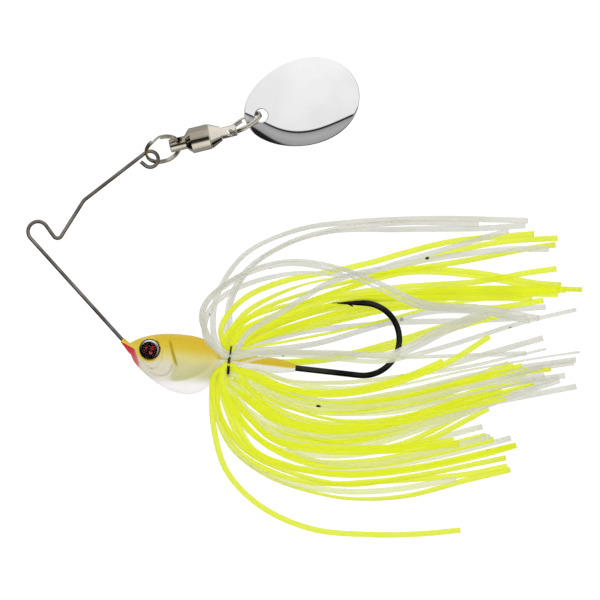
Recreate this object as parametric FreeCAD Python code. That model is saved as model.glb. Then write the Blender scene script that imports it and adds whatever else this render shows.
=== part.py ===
"""Single-blade spinnerbait, modelled as the separate pieces that it is assembled from.

Frame: millimetres, +Z up as the lure swims, +X from the nose to the tail, and Y across the lure.
The origin is the centre of the line-tie bend of the wire.
"""

import FreeCAD, Part
import math
import os

V = FreeCAD.Vector

# ---------------------------------------------------------------- driving dimensions
# form wire
WIRE_D = 0.75
TIE_BEND_R = 2.0
LOWER_ARM_ANGLE = -47.9
BEND_LEG_ANGLE = -54.9
V_BEND = V(3.95, 0, -2.05)
V_BEND_R = 0.9
KINK = V(9.16, 0, 6.22)
KINK_R = 2.4
ARM_ANGLE = 37.7
ARM_LENGTH = 15.55
LOOP_R = 1.6
LOOP_TURN = 258.0
LOOP_TAIL = 1.1
CAST_IN_BEND = V(18.3, 0, -23.05)
CAST_IN_LEG = 1.5

# collar line: the common axis of the hook's shank, the keeper and the skirt
TIE_POINT = V(38.3, 0, -25.8)
COLLAR_ANGLE = -6.5

# hook
HOOK_D = 1.2
HOOK_EYE_X = 22.4
HOOK_EYE_R = 1.35
HOOK_BEND_X = 64.2
HOOK_BEND_R = 7.25
HOOK_POINT_LENGTH = 6.2
HOOK_TIP_R = 0.05
BARB_LENGTH = 1.7
BARB_LIFT = 0.75

# head casting: stations as (x, top z, bottom z, half width)
HEAD_STATIONS = [
    (18.6, -22.15, -25.3, 1.15),
    (20.2, -21.25, -27.3, 2.25),
    (22.4, -20.75, -29.2, 3.10),
    (25.2, -20.45, -31.2, 3.85),
    (28.4, -20.55, -32.4, 4.25),
    (31.6, -21.00, -32.3, 4.05),
    (34.2, -21.95, -30.4, 3.15),
    (36.2, -23.50, -27.9, 2.0),
]
HEAD_WIDEST = 0.56
NOSE_TUBE_R = 0.95
NOSE_TUBE_BASE_R = 1.75
NOSE_TUBE_START = 31.0
NOSE_TUBE_END = 34.6
KEEPER_R = 1.55
KEEPER_START = -3.0
KEEPER_END = 9.6
KEEPER_TIP_LENGTH = 3.6
KEEPER_TIP_R = 0.75
KEEPER_RIB_R = 1.72
KEEPER_RIBS = (2.6, 6.0)

# eyes
EYE_X = 22.4
EYE_Z = -23.5
EYE_R = 2.05
EYE_SOCKET_CLEARANCE = 0.03
EYE_SOCKET_FLOOR = 2.35
EYE_DISC_T = 0.2
EYE_RIM_Y = 2.95
EYE_DOME_H = 0.6

# split rings: two flat coils, one on the other
RING_R = 3.5
RING_STRIP = 0.5
RING_COIL = 0.44
RING_JOG = 26.0

# swivel, as distances along its axis from the centre of its lower eye
SWIVEL_EYE = V(28.32, -0.99, 17.5)
SWIVEL_AXIS = V(0.9704, -0.047, 0.2366)
LOWER_EYE_BORE_R = 0.8
TAIL_R = 1.35
TAIL_START = -1.95
SHOULDER_START = 1.3
SHOULDER_END = 2.45
BARREL_R = 2.55
BARREL_END = 6.18
BARREL_BORE_R = 2.1
BARREL_BORE_START = 3.2
FLANGE_START = 3.95
FLANGE_END = 4.5
FLANGE_R = 1.9
BALL_R = 0.42
BALL_ORBIT_R = 1.36
BALL_COUNT = 8
BALL_CLEARANCE = 0.01
RACE_T = 0.35
CAP_END = 8.6
CAP_END_R = 1.45
SHAFT_R = 0.8
SHAFT_CLEARANCE = 0.05
NECK_START = 8.68
NECK_R = 1.18
NECK_END = 11.75
UPPER_EYE_AT = 10.4
UPPER_EYE_BORE_R = 0.72

# lie of the two split rings: u is the long direction that is seen, v the other direction in the ring's plane
LOWER_RING_CENTRE = V(25.02, -1.13, 16.43)
LOWER_RING_U = V(0.931, 0, 0.365)
LOWER_RING_V = V(-0.2347, -0.766, 0.5986)
UPPER_RING_U = V(0.857, 0, 0.515)
UPPER_RING_V = V(-0.1396, 0.9626, 0.2322)
UPPER_RING_TURN = 7.5

# blade
BLADE_HALF_LENGTH = 11.9
BLADE_HALF_WIDTH = 8.7
BLADE_FULLNESS = 0.10
BLADE_DEPTH = 3.2
BLADE_T = 0.5
BLADE_HOLE_R = 1.3
BLADE_HOLE_FROM_END = 3.4
BLADE_ANGLE = 17.4
BLADE_HOLE = V(44.62, -2.2, 23.1)

# skirt
STRAND_W = 0.8
STRAND_T = 0.28
TIE_HALF = 1.1
INNER, MIDDLE, OUTER = 1.9, 2.32, 2.74
LAYER_LEAD = 0.25
TIE_WIRE_D = 0.34
TIE_WIRE_TURNS = 3
TIE_WIRE_R = 3.22

# Each strand passes under the tie once, in its own plane through the collar line.
# It has a front half, which loops forward over the head and folds back, and a rear half.
# (plane's roll from straight up or down, layer under the tie,
#  front: bulge, crest x, crest height, tip x, tip height,
#  rear: crest x, crest height, tip x, tip height)
# Lengths run from the tie along the collar line. Heights are from that line, as seen from the side.
UPPER_PEARL = [
    (-15, INNER, 5.4, 22, 31.1, 59.4, 34.8, 26, 14.5, 64.9, 30.2),
    (15, MIDDLE, 4.2, 24, 26.7, 59.0, 33.9, 30, 15.8, 64.9, 25.8),
    (-30, MIDDLE, 4.2, 13, 20.6, 50.0, 28.0, 30, 13.0, 68.5, 18.2),
    (60, MIDDLE, 3.4, 20, 8.6, 51.1, 8.6, 34, 5.0, 69.3, 6.2),
]
UPPER_CHARTREUSE = [
    (0, OUTER, 3.0, 26, 23.5, 60.6, 32.3, 28, 20.2, 57.0, 27.5),
    (30, INNER, 5.0, 16, 22.8, 62.8, 28.6, 32, 11.6, 58.8, 16.2),
    (45, OUTER, 2.8, 26, 15.0, 70.7, 16.0, 28, 11.5, 62.9, 13.5),
    (-45, OUTER, 2.8, 28, 15.4, 66.0, 16.0, 32, 11.0, 54.8, 12.5),
    (-60, INNER, 4.4, 18, 9.0, 63.4, 9.0, 34, 4.4, 69.3, 5.5),
]
LOWER_PEARL = [
    (-31.5, OUTER, 2.0, 24, 13.7, 56.4, 9.0, 26, 9.6, 52.0, 6.3),
    (31, OUTER, 2.0, 28, 11.6, 69.0, 7.0, 30, 8.6, 53.6, 5.4),
    (-10, INNER, 2.4, 22, 22.5, 54.5, 12.8, 30, 5.2, 62.4, 2.6),
    (54.5, INNER, 2.9, 22, 9.3, 51.6, 8.7, 30, 3.5, 63.7, 2.9),
    (-53, MIDDLE, 2.4, 24, 8.7, 52.6, 6.6, 34, 4.2, 66.4, 4.2),
]
LOWER_CHARTREUSE = [
    (0, OUTER, 2.0, 26, 15.6, 55.8, 14.6, 28, 11.4, 54.5, 9.0),
    (10.5, MIDDLE, 2.4, 28, 24.6, 56.0, 15.0, 26, 9.0, 61.2, 4.6),
    (21, INNER, 2.8, 26, 32.0, 46.0, 28.4, 32, 6.0, 65.2, 3.2),
    (42, MIDDLE, 2.4, 24, 13.9, 52.5, 11.9, 24, 6.4, 42.6, 6.6),
    (65, OUTER, 1.9, 20, 6.0, 54.0, 5.4, 28, 4.2, 59.0, 3.9),
    (-21, MIDDLE, 2.6, 24, 19.5, 57.5, 11.4, 28, 8.8, 59.5, 4.4),
    (-42, INNER, 2.8, 20, 14.5, 45.2, 11.2, 26, 4.4, 51.5, 3.8),
    (-63, OUTER, 1.9, 26, 5.8, 62.6, 4.6, 22, 4.2, 48.0, 3.8),
]


# ---------------------------------------------------------------- small helpers
def unit(v):
    return V(v).normalize()


def in_plane(angle, y=0.0):
    """The direction in the XZ plane that stands at an angle above +X."""
    a = math.radians(angle)
    return V(math.cos(a), y, math.sin(a))


def placed(shape, origin, x_dir, z_dir):
    """A shape drawn about the global origin, moved so that its X and Z axes lie along x_dir and z_dir."""
    x, z = unit(x_dir), unit(z_dir)
    y = z.cross(x)
    matrix = FreeCAD.Matrix(
        x.x, y.x, z.x, origin.x,
        x.y, y.y, z.y, origin.y,
        x.z, y.z, z.z, origin.z,
        0, 0, 0, 1,
    )
    moved = shape.copy()
    moved.Placement = FreeCAD.Placement(matrix).multiply(shape.Placement)
    return moved


def turned(profile, axis_point, axis):
    """A solid turned from a closed profile given as (distance along the axis, radius) pairs."""
    points = [V(a, 0, r) for a, r in profile]
    face = Part.Face(Part.makePolygon(points + [points[0]]))
    solid = face.revolve(V(0, 0, 0), V(1, 0, 0), 360)
    side = V(0, 0, 1) if abs(unit(axis).z) < 0.9 else V(0, 1, 0)
    z = side - unit(axis) * side.dot(unit(axis))
    return placed(solid, axis_point, axis, z)


def rounded(points, radii):
    """Edges of straight runs through points, with an arc of the given radius at each inner point."""
    edges, start = [], points[0]
    for before, corner, after, radius in zip(points, points[1:], points[2:], radii):
        to_back, to_front = unit(before - corner), unit(after - corner)
        half = to_back.getAngle(to_front) / 2
        cut = radius / math.tan(half)
        middle = corner + unit(to_back + to_front) * (radius / math.sin(half) - radius)
        first, last = corner + to_back * cut, corner + to_front * cut
        if (first - start).Length > 1e-6:
            edges.append(Part.makeLine(start, first))
        edges.append(Part.Arc(first, middle, last).toShape())
        start = last
    edges.append(Part.makeLine(start, points[-1]))
    return edges


def rod(edges, radius):
    """A round wire of one radius along a path of tangent edges."""
    path = Part.Wire(edges)
    start, direction = edges[0].valueAt(edges[0].FirstParameter), edges[0].tangentAt(edges[0].FirstParameter)
    section = Part.Wire(Part.makeCircle(radius, start, direction))
    return path.makePipeShell([section], True, False)


def save(name, *solids):
    os.makedirs("parts", exist_ok=True)
    whole = solids[0] if len(solids) == 1 else Part.makeCompound(list(solids))
    valid = all(s.isValid() and s.Volume > 0 for s in whole.Solids)
    print(f"{name:28s} solids {len(whole.Solids):3d} valid {valid} volume {whole.Volume:9.3f}")
    whole.exportStep(f"parts/{name}.step")


# ---------------------------------------------------------------- places worked out from the dimensions
COLLAR_AXIS = in_plane(COLLAR_ANGLE)
COLLAR_UP = in_plane(COLLAR_ANGLE + 90)


def on_collar(along, up=0.0, across=0.0):
    """A point by its distance along the collar line from the tie, above the line, and across it."""
    return TIE_POINT + COLLAR_AXIS * along + COLLAR_UP * up + V(0, across, 0)


HOOK_EYE = on_collar((HOOK_EYE_X - TIE_POINT.x) / COLLAR_AXIS.x)
LOOP_TANGENT = KINK + in_plane(ARM_ANGLE) * ARM_LENGTH
LOOP_CENTRE = LOOP_TANGENT + in_plane(ARM_ANGLE - 90) * LOOP_R
SWIVEL_DIRECTION = unit(SWIVEL_AXIS)
LOWER_BORE_AXIS = unit(LOWER_RING_V - SWIVEL_DIRECTION * LOWER_RING_V.dot(SWIVEL_DIRECTION))
UPPER_EYE = SWIVEL_EYE + SWIVEL_DIRECTION * UPPER_EYE_AT
RING_TURN = math.radians(UPPER_RING_TURN)
UPPER_BORE_RAW = UPPER_RING_U * math.sin(RING_TURN) + UPPER_RING_V * math.cos(RING_TURN)
UPPER_BORE_AXIS = unit(UPPER_BORE_RAW - SWIVEL_DIRECTION * UPPER_BORE_RAW.dot(SWIVEL_DIRECTION))
UPPER_RING_CENTRE = (
    UPPER_EYE
    + UPPER_RING_U * (RING_R * math.cos(RING_TURN))
    - UPPER_RING_V * (RING_R * math.sin(RING_TURN))
)


# ---------------------------------------------------------------- form wire and hook
def form_wire():
    """One bent wire: cast-in leg, lower arm, line-tie bend, V bend, upper arm and the closed end loop."""
    lower = in_plane(LOWER_ARM_ANGLE)
    tie_start = in_plane(LOWER_ARM_ANGLE - 90) * TIE_BEND_R
    tie_end = in_plane(BEND_LEG_ANGLE + 90) * TIE_BEND_R
    tie_top = unit(in_plane(LOWER_ARM_ANGLE + 180) + in_plane(BEND_LEG_ANGLE + 180)) * TIE_BEND_R
    cast_in = tie_start + lower * (CAST_IN_BEND - tie_start).dot(lower)
    leg_start = HOOK_EYE + V(0, -CAST_IN_LEG, 0)
    leg_end = HOOK_EYE + V(0, CAST_IN_LEG, 0)
    edges = rounded([leg_end, leg_start, cast_in, tie_start], [0.75, 1.6])
    edges.append(Part.Arc(tie_start, tie_top, tie_end).toShape())
    edges += rounded([tie_end, V_BEND, KINK, LOOP_TANGENT], [V_BEND_R, KINK_R])
    first = ARM_ANGLE + 90
    around = [LOOP_CENTRE + in_plane(first - LOOP_TURN * share) * LOOP_R for share in (0, 0.5, 1)]
    edges.append(Part.Arc(*around).toShape())
    tail = in_plane(first - LOOP_TURN - 90)
    edges.append(Part.makeLine(around[2], around[2] + tail * LOOP_TAIL))
    return rod(edges, WIRE_D / 2)


def hook():
    """Hook with a closed eye, a straight shank, a round bend and a needle point with a cut barb."""
    radius = HOOK_D / 2
    eye_side = HOOK_EYE + COLLAR_AXIS * HOOK_EYE_R
    bend_start = on_collar((HOOK_BEND_X - TIE_POINT.x) / COLLAR_AXIS.x)
    centre = bend_start + COLLAR_UP * HOOK_BEND_R
    shank = Part.makeCylinder(radius, (bend_start - eye_side).Length, eye_side, COLLAR_AXIS)
    eye = Part.makeTorus(HOOK_EYE_R, radius * 0.9, HOOK_EYE, V(0, 1, 0))
    top = centre + V(0, 0, HOOK_BEND_R)
    side = centre + in_plane((COLLAR_ANGLE - 90 + 90) / 2) * HOOK_BEND_R
    bend = rod([Part.Arc(bend_start, side, top).toShape()], radius)
    point = Part.makeCone(radius, HOOK_TIP_R, HOOK_POINT_LENGTH, top, V(-1, 0, 0))
    barb_root = top + V(-3.6, 0, -0.1)
    barb_tip = barb_root + V(BARB_LENGTH, 0, -BARB_LIFT)
    barb_back = barb_root + V(BARB_LENGTH * 0.75, 0, 0)
    barb_face = Part.Face(Part.makePolygon([barb_root, barb_tip, barb_back, barb_root]))
    barb = barb_face.extrude(V(0, 0.36, 0))
    barb.translate(V(0, -0.18, 0))
    return shank.fuse([eye, bend, point, barb]).removeSplitter()


# ---------------------------------------------------------------- head
def head_section(x, top, bottom, half_width):
    """A closed fish-like section across the head, widest a little above its middle."""
    height = top - bottom
    widest = bottom + height * HEAD_WIDEST
    upper, lower = top - widest, widest - bottom
    count, points = 20, []
    for n in range(count):
        a = 2 * math.pi * n / count
        up = math.sin(a)
        points.append(V(x, half_width * math.cos(a), widest + up * (upper if up > 0 else lower)))
    curve = Part.BSplineCurve()
    curve.interpolate(points, PeriodicFlag=True)
    return Part.Wire(curve.toShape())


def head_casting(wire, hook_solid):
    """Cast head: fish-shaped body, nose tube round the wire, keeper barrel with two ribs and a wedge tip."""
    body = Part.makeLoft([head_section(*station) for station in HEAD_STATIONS], True, False)
    lower = in_plane(LOWER_ARM_ANGLE)
    start = in_plane(LOWER_ARM_ANGLE - 90) * TIE_BEND_R
    tube = Part.makeCone(
        NOSE_TUBE_R, NOSE_TUBE_BASE_R, NOSE_TUBE_END - NOSE_TUBE_START,
        start + lower * (NOSE_TUBE_START - 2.4), lower,
    )
    profile = [(KEEPER_START, 0), (KEEPER_START, KEEPER_R)]
    for rib in KEEPER_RIBS:
        profile += [(rib, KEEPER_R), (rib + 0.35, KEEPER_RIB_R), (rib + 0.7, KEEPER_R)]
    profile += [(KEEPER_END, KEEPER_R), (KEEPER_END + KEEPER_TIP_LENGTH, KEEPER_TIP_R)]
    profile += [(KEEPER_END + KEEPER_TIP_LENGTH, 0)]
    keeper = turned(profile, TIE_POINT, COLLAR_AXIS)
    solid = body.fuse([tube, keeper])
    for side in (-1, 1):
        socket = Part.makeCylinder(
            EYE_R + EYE_SOCKET_CLEARANCE, 4, V(EYE_X, side * EYE_SOCKET_FLOOR, EYE_Z), V(0, side, 0)
        )
        solid = solid.cut(socket)
    return solid.cut([wire, hook_solid]).removeSplitter()


def eye_disc(side):
    """Printed foil disc at the bottom of the socket."""
    return Part.makeCylinder(EYE_R, EYE_DISC_T, V(EYE_X, side * EYE_SOCKET_FLOOR, EYE_Z), V(0, side, 0))


def eye_dome(side):
    """Clear domed lens on the disc."""
    base = EYE_SOCKET_FLOOR + EYE_DISC_T
    rim = EYE_RIM_Y - base
    ball_r = (EYE_R**2 + EYE_DOME_H**2) / (2 * EYE_DOME_H)
    post = Part.makeCylinder(EYE_R, rim + EYE_DOME_H, V(EYE_X, side * base, EYE_Z), V(0, side, 0))
    ball = Part.makeSphere(ball_r, V(EYE_X, side * (EYE_RIM_Y + EYE_DOME_H - ball_r), EYE_Z))
    return post.common(ball)


# ---------------------------------------------------------------- split rings, swivel and blade
def coil_section(angle, level):
    """The flat strip's section at an angle round the ring, with its middle at a level on the ring's axis."""
    a = math.radians(angle)
    corners = []
    for r, z in ((-1, -1), (1, -1), (1, 1), (-1, 1)):
        radius = RING_R + r * RING_STRIP / 2
        corners.append(V(radius * math.cos(a), radius * math.sin(a), level + z * RING_COIL / 2))
    return Part.makePolygon(corners + [corners[0]])


def split_ring(centre, u, v, jog_at):
    """Two coils of flat strip, joined by a jog, with both ends beside the jog."""
    level = (RING_COIL + 0.01) / 2
    gap = 3.0
    turn = 360 - RING_JOG - gap
    first = Part.Face(coil_section(jog_at - turn - RING_JOG / 2, -level)).revolve(V(0, 0, 0), V(0, 0, 1), turn)
    second = Part.Face(coil_section(jog_at + RING_JOG / 2, level)).revolve(V(0, 0, 0), V(0, 0, 1), turn)
    steps = 6
    sections = []
    for n in range(steps + 1):
        share = n / steps
        smooth = share * share * (3 - 2 * share)
        sections.append(coil_section(jog_at + RING_JOG * (share - 0.5), level * (2 * smooth - 1)))
    jog = Part.makeLoft(sections, True, True)
    ring = first.fuse([jog, second]).removeSplitter()
    return placed(ring, centre, u, unit(u).cross(unit(v)))


def bored(solid, at, axis, radius):
    """The solid with a hole of that radius right through it."""
    reach = 4.0
    return solid.cut(Part.makeCylinder(radius, 2 * reach, at - axis * reach, axis))


def swivel_barrel():
    """Turned barrel with a pierced tail at one end and a bore for the bearing at the other."""
    profile = [
        (TAIL_START, 0), (TAIL_START, TAIL_R - 0.15), (TAIL_START + 0.15, TAIL_R),
        (SHOULDER_START, TAIL_R), (SHOULDER_END, BARREL_R), (BARREL_END, BARREL_R),
        (BARREL_END, BARREL_BORE_R), (BARREL_BORE_START, BARREL_BORE_R), (BARREL_BORE_START, 0),
    ]
    solid = turned(profile, SWIVEL_EYE, SWIVEL_DIRECTION)
    return bored(solid, SWIVEL_EYE, LOWER_BORE_AXIS, LOWER_EYE_BORE_R)


RACE_START = FLANGE_END + 2 * (BALL_R + BALL_CLEARANCE)
CAP_START = RACE_START + RACE_T
SHAFT_BORE_R = SHAFT_R + SHAFT_CLEARANCE


def bearing_race():
    """Flat race that the balls run on."""
    profile = [
        (RACE_START, SHAFT_BORE_R), (RACE_START, BARREL_BORE_R), (CAP_START, BARREL_BORE_R), (CAP_START, SHAFT_BORE_R),
    ]
    return turned(profile, SWIVEL_EYE, SWIVEL_DIRECTION)


def swivel_nose_cap():
    """Tapered cap whose spigot closes the barrel and guides the shaft."""
    groove = 0.25
    profile = [
        (CAP_START, SHAFT_BORE_R), (CAP_START, BARREL_BORE_R), (BARREL_END, BARREL_BORE_R),
        (BARREL_END, BARREL_R - 0.2), (BARREL_END + groove, BARREL_R - 0.05),
        (CAP_END, CAP_END_R), (CAP_END, SHAFT_BORE_R),
    ]
    return turned(profile, SWIVEL_EYE, SWIVEL_DIRECTION)


def swivel_spindle():
    """Flanged shaft with a pierced neck, which carries the blade and turns on the balls."""
    profile = [
        (FLANGE_START, 0), (FLANGE_START, FLANGE_R), (FLANGE_END, FLANGE_R), (FLANGE_END, SHAFT_R),
        (NECK_START, SHAFT_R), (NECK_START, NECK_R), (NECK_END - 0.15, NECK_R), (NECK_END, NECK_R - 0.15),
        (NECK_END, 0),
    ]
    solid = turned(profile, SWIVEL_EYE, SWIVEL_DIRECTION)
    return bored(solid, UPPER_EYE, UPPER_BORE_AXIS, UPPER_EYE_BORE_R)


def bearing_balls():
    """The ring of balls between the flange and the race."""
    side = unit(LOWER_BORE_AXIS)
    other = SWIVEL_DIRECTION.cross(side)
    middle = SWIVEL_EYE + SWIVEL_DIRECTION * (FLANGE_END + RACE_START) * 0.5
    balls = []
    for n in range(BALL_COUNT):
        a = 2 * math.pi * n / BALL_COUNT
        balls.append(Part.makeSphere(BALL_R, middle + (side * math.cos(a) + other * math.sin(a)) * BALL_ORBIT_R))
    return balls


def blade_height(x, y):
    """Height of the cupped blade over the plane of its rim."""
    return BLADE_DEPTH * (1 - (x / BLADE_HALF_LENGTH) ** 2 - (y / BLADE_HALF_WIDTH) ** 2)


def blade():
    """Oval blade, cupped evenly, with the ring's hole near its narrower end."""
    grid, reach = 9, 1.15
    rows = []
    for i in range(grid):
        x = BLADE_HALF_LENGTH * reach * (2 * i / (grid - 1) - 1)
        row = []
        for j in range(grid):
            y = BLADE_HALF_WIDTH * reach * (2 * j / (grid - 1) - 1)
            row.append(V(x, y, blade_height(x, y)))
        rows.append(row)
    surface = Part.BSplineSurface()
    surface.interpolate(rows)
    sheet = surface.toShape().extrude(V(0, 0, -BLADE_T))
    outline, count = [], 28
    for n in range(count):
        a = 2 * math.pi * n / count
        x = math.cos(a)
        outline.append(V(BLADE_HALF_LENGTH * x, BLADE_HALF_WIDTH * math.sin(a) * (1 + BLADE_FULLNESS * x), -12))
    curve = Part.BSplineCurve()
    curve.interpolate(outline, PeriodicFlag=True)
    column = Part.Face(Part.Wire(curve.toShape())).extrude(V(0, 0, 24))
    hole_x = -BLADE_HALF_LENGTH + BLADE_HOLE_FROM_END
    slope = math.atan(2 * BLADE_DEPTH * hole_x / BLADE_HALF_LENGTH**2)
    hole_at = V(hole_x, 0, blade_height(hole_x, 0))
    hole_axis = V(math.sin(slope), 0, math.cos(slope))
    pin = Part.makeCylinder(BLADE_HOLE_R, 8, hole_at - hole_axis * 4, hole_axis)
    solid = sheet.common(column).cut(pin)
    solid.translate(hole_at * -1)
    return placed(solid, BLADE_HOLE, in_plane(BLADE_ANGLE), V(0, -1, 0))


# ---------------------------------------------------------------- skirt
def front_half(layer, bulge, crest_x, crest, tip_x, tip):
    """Side-view control points of a half that loops forward over the head and folds back."""
    rise = crest - layer
    return [
        (-TIE_HALF - 0.5 * bulge, layer + 0.5 * bulge),
        (-TIE_HALF - bulge, layer + 0.8 * bulge + 0.1 * rise),
        (-TIE_HALF - 0.6 * bulge + 0.02 * crest_x, layer + 0.66 * rise),
        (0.32 * crest_x, layer + 0.93 * rise),
        (crest_x, crest + 0.3),
        (0.5 * (crest_x + tip_x), 0.5 * (crest + tip) + 0.6),
        (tip_x, tip),
    ]


def rear_half(layer, crest_x, crest, tip_x, tip):
    """Side-view control points of a half that runs straight back from the tie."""
    rise = crest - layer
    return [
        (TIE_HALF + 1.2, layer + 0.1 * rise),
        (0.42 * crest_x, layer + 0.62 * rise),
        (crest_x, crest),
        (0.5 * (crest_x + tip_x), 0.5 * (crest + tip) + 0.04 * (tip_x - crest_x)),
        (tip_x, tip),
    ]


def strand_route(row):
    """(distance along the collar line, distance out from it) of each control point, tip to tip, in its plane."""
    roll, layer, bulge, front_x, front, front_tip_x, front_tip, rear_x, rear, rear_tip_x, rear_tip = row
    spread = math.cos(math.radians(roll))
    lead = (OUTER - layer) / (OUTER - INNER) * LAYER_LEAD
    ahead = front_half(layer * spread, bulge, front_x, front, front_tip_x, front_tip)
    behind = rear_half(layer * spread, rear_x, rear, rear_tip_x, rear_tip)
    middle = [(-TIE_HALF - lead, layer * spread), (TIE_HALF, layer * spread)]
    return [(along, height / spread) for along, height in ahead[::-1] + middle + behind]


def strand_edges(route):
    """The route's straight runs, joined by the widest arcs that fit."""
    radii = []
    for before, corner, after in zip(route, route[1:], route[2:]):
        run = min((corner - before).Length, (after - corner).Length)
        turn = math.pi - (before - corner).getAngle(after - corner)
        radii.append(0.45 * run / math.tan(max(turn, 0.01) / 2))
    return rounded(route, radii)


def beside(edge, offset):
    """The edge moved sideways in the strand's plane."""
    first, last = edge.FirstParameter, edge.LastParameter
    points = []
    for t in (first, (first + last) / 2, last):
        tangent = edge.tangentAt(t)
        points.append(edge.valueAt(t) + V(-tangent.z, 0, tangent.x) * offset)
    if isinstance(edge.Curve, Part.Circle):
        return Part.Arc(*points).toShape()
    return Part.makeLine(points[0], points[2])


def strand(row, down):
    """One flat strand: its route, given thickness in its own plane and width across it."""
    edges = strand_edges([V(along, 0, out) for along, out in strand_route(row)])
    outer = [beside(edge, STRAND_T / 2) for edge in edges]
    inner = [beside(edge, -STRAND_T / 2) for edge in edges]
    start = Part.makeLine(inner[0].valueAt(inner[0].FirstParameter), outer[0].valueAt(outer[0].FirstParameter))
    end = Part.makeLine(inner[-1].valueAt(inner[-1].LastParameter), outer[-1].valueAt(outer[-1].LastParameter))
    border = Part.Wire(Part.__sortEdges__(outer + inner + [start, end]))
    ribbon = Part.Face(border).extrude(V(0, STRAND_W, 0))
    ribbon.translate(V(0, -STRAND_W / 2, 0))
    roll = math.radians(row[0])
    across = V(0, math.sin(roll), 0)
    out = COLLAR_UP * (math.cos(roll) * (-1 if down else 1)) + across
    return placed(ribbon, TIE_POINT, COLLAR_AXIS, out)


def skirt_tab(rows, down):
    """The strands of one colour on one side of the skirt."""
    return [strand(row, down) for row in rows]


def skirt_tie():
    """Thin wire wound round the strands, which squeezes them onto the keeper."""
    pitch = TIE_WIRE_D * 1.02
    helix = Part.makeHelix(pitch, pitch * TIE_WIRE_TURNS, TIE_WIRE_R)
    section = Part.Wire(Part.makeCircle(TIE_WIRE_D / 2, V(TIE_WIRE_R, 0, 0), V(0, 1, 0)))
    coil = Part.Wire(helix).makePipeShell([section], True, True)
    coil.translate(V(0, 0, -pitch * TIE_WIRE_TURNS / 2))
    return placed(coil, TIE_POINT, COLLAR_UP, COLLAR_AXIS)


# ---------------------------------------------------------------- build
def main():
    wire = form_wire()
    hook_solid = hook()
    save("form_wire", wire)
    save("hook", hook_solid)
    save("head_casting", head_casting(wire, hook_solid))
    for name, side in (("near", -1), ("far", 1)):
        save(f"eye_disc_{name}", eye_disc(side))
        save(f"eye_dome_{name}", eye_dome(side))
    save("lower_split_ring", split_ring(LOWER_RING_CENTRE, LOWER_RING_U, LOWER_RING_V, 100))
    save("upper_split_ring", split_ring(UPPER_RING_CENTRE, UPPER_RING_U, UPPER_RING_V, 80))
    save("swivel_barrel", swivel_barrel())
    save("swivel_bearing_race", bearing_race())
    save("swivel_nose_cap", swivel_nose_cap())
    save("swivel_spindle", swivel_spindle())
    save("swivel_bearing_balls", *bearing_balls())
    save("spinner_blade", blade())
    save("skirt_tie_wire", skirt_tie())
    save("skirt_upper_pearl", *skirt_tab(UPPER_PEARL, False))
    save("skirt_upper_chartreuse", *skirt_tab(UPPER_CHARTREUSE, False))
    save("skirt_lower_pearl", *skirt_tab(LOWER_PEARL, True))
    save("skirt_lower_chartreuse", *skirt_tab(LOWER_CHARTREUSE, True))


main()
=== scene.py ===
import math
import random

import bmesh
import bpy
from mathutils import Matrix, Vector


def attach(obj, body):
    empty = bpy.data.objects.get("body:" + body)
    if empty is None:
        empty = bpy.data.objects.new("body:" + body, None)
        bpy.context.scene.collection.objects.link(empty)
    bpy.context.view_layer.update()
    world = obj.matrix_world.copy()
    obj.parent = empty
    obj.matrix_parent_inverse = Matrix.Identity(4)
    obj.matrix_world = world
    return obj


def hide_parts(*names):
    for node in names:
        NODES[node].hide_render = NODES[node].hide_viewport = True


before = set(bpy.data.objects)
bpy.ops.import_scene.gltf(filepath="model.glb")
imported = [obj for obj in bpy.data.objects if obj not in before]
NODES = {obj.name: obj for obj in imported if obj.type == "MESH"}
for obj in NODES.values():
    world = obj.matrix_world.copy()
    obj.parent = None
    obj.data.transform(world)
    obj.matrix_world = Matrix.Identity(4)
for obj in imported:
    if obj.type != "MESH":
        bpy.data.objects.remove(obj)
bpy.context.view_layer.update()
MM = 0.001

# ---------------------------------------------------------------- dimensions, in millimetres
TIE_POINT = Vector((38.3, 0, -25.8))
COLLAR_ANGLE = math.radians(-6.5)
COLLAR_AXIS = Vector((math.cos(COLLAR_ANGLE), 0, math.sin(COLLAR_ANGLE)))
COLLAR_UP = Vector((-math.sin(COLLAR_ANGLE), 0, math.cos(COLLAR_ANGLE)))
EYE = Vector((22.4, 0, -23.5))
EYE_R = 2.05
BLADE_HALF_LENGTH = 11.9
BLADE_HALF_WIDTH = 8.7
BLADE_FULLNESS = 0.10
BLADE_DEPTH = 3.2
BLADE_T = 0.5
BLADE_HOLE_R = 1.3
BLADE_HOLE_FROM_END = 3.4
BLADE_ANGLE = math.radians(17.4)
BLADE_HOLE = Vector((44.62, -2.2, 23.1))
STRAND_W = 1.12
STRAND_T = 0.42
SPREAD = 1.34
TIE_HALF = 0.7

# ---------------------------------------------------------------- what the metals reflect
EDGE_CENTRE = 0.13
EDGE_CURVE = 0.79
EDGE_DEPTH = 0.745
TENT_STOPS = [
    (-0.5, 0.015), (-0.192, 0.015), (-0.172, 0.33), (-0.10, 0.42), (-0.03, 0.34), (-0.012, 0.015),
    (0.008, 0.012), (0.025, 0.85), (0.5, 0.88), (1.1, 0.90), (1.7, 0.95),
]
BEHIND_STOPS = [
    (-1.0, 1.0), (-0.05, 1.0), (0.15, 0.05), (0.30, 0.05), (0.38, 0.6), (0.52, 0.6),
    (0.62, 0.08), (0.80, 0.10), (0.88, 0.7), (1.0, 0.8),
]


# ---------------------------------------------------------------- mesh helpers
def mesh_object(name, verts, faces, smooth=True):
    """A mesh from millimetre points."""
    mesh = bpy.data.meshes.new(name)
    mesh.from_pydata([Vector(v) * MM for v in verts], [], faces)
    mesh.validate()
    for polygon in mesh.polygons:
        polygon.use_smooth = smooth
    piece = bpy.data.objects.new(name, mesh)
    bpy.context.scene.collection.objects.link(piece)
    return piece


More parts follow.
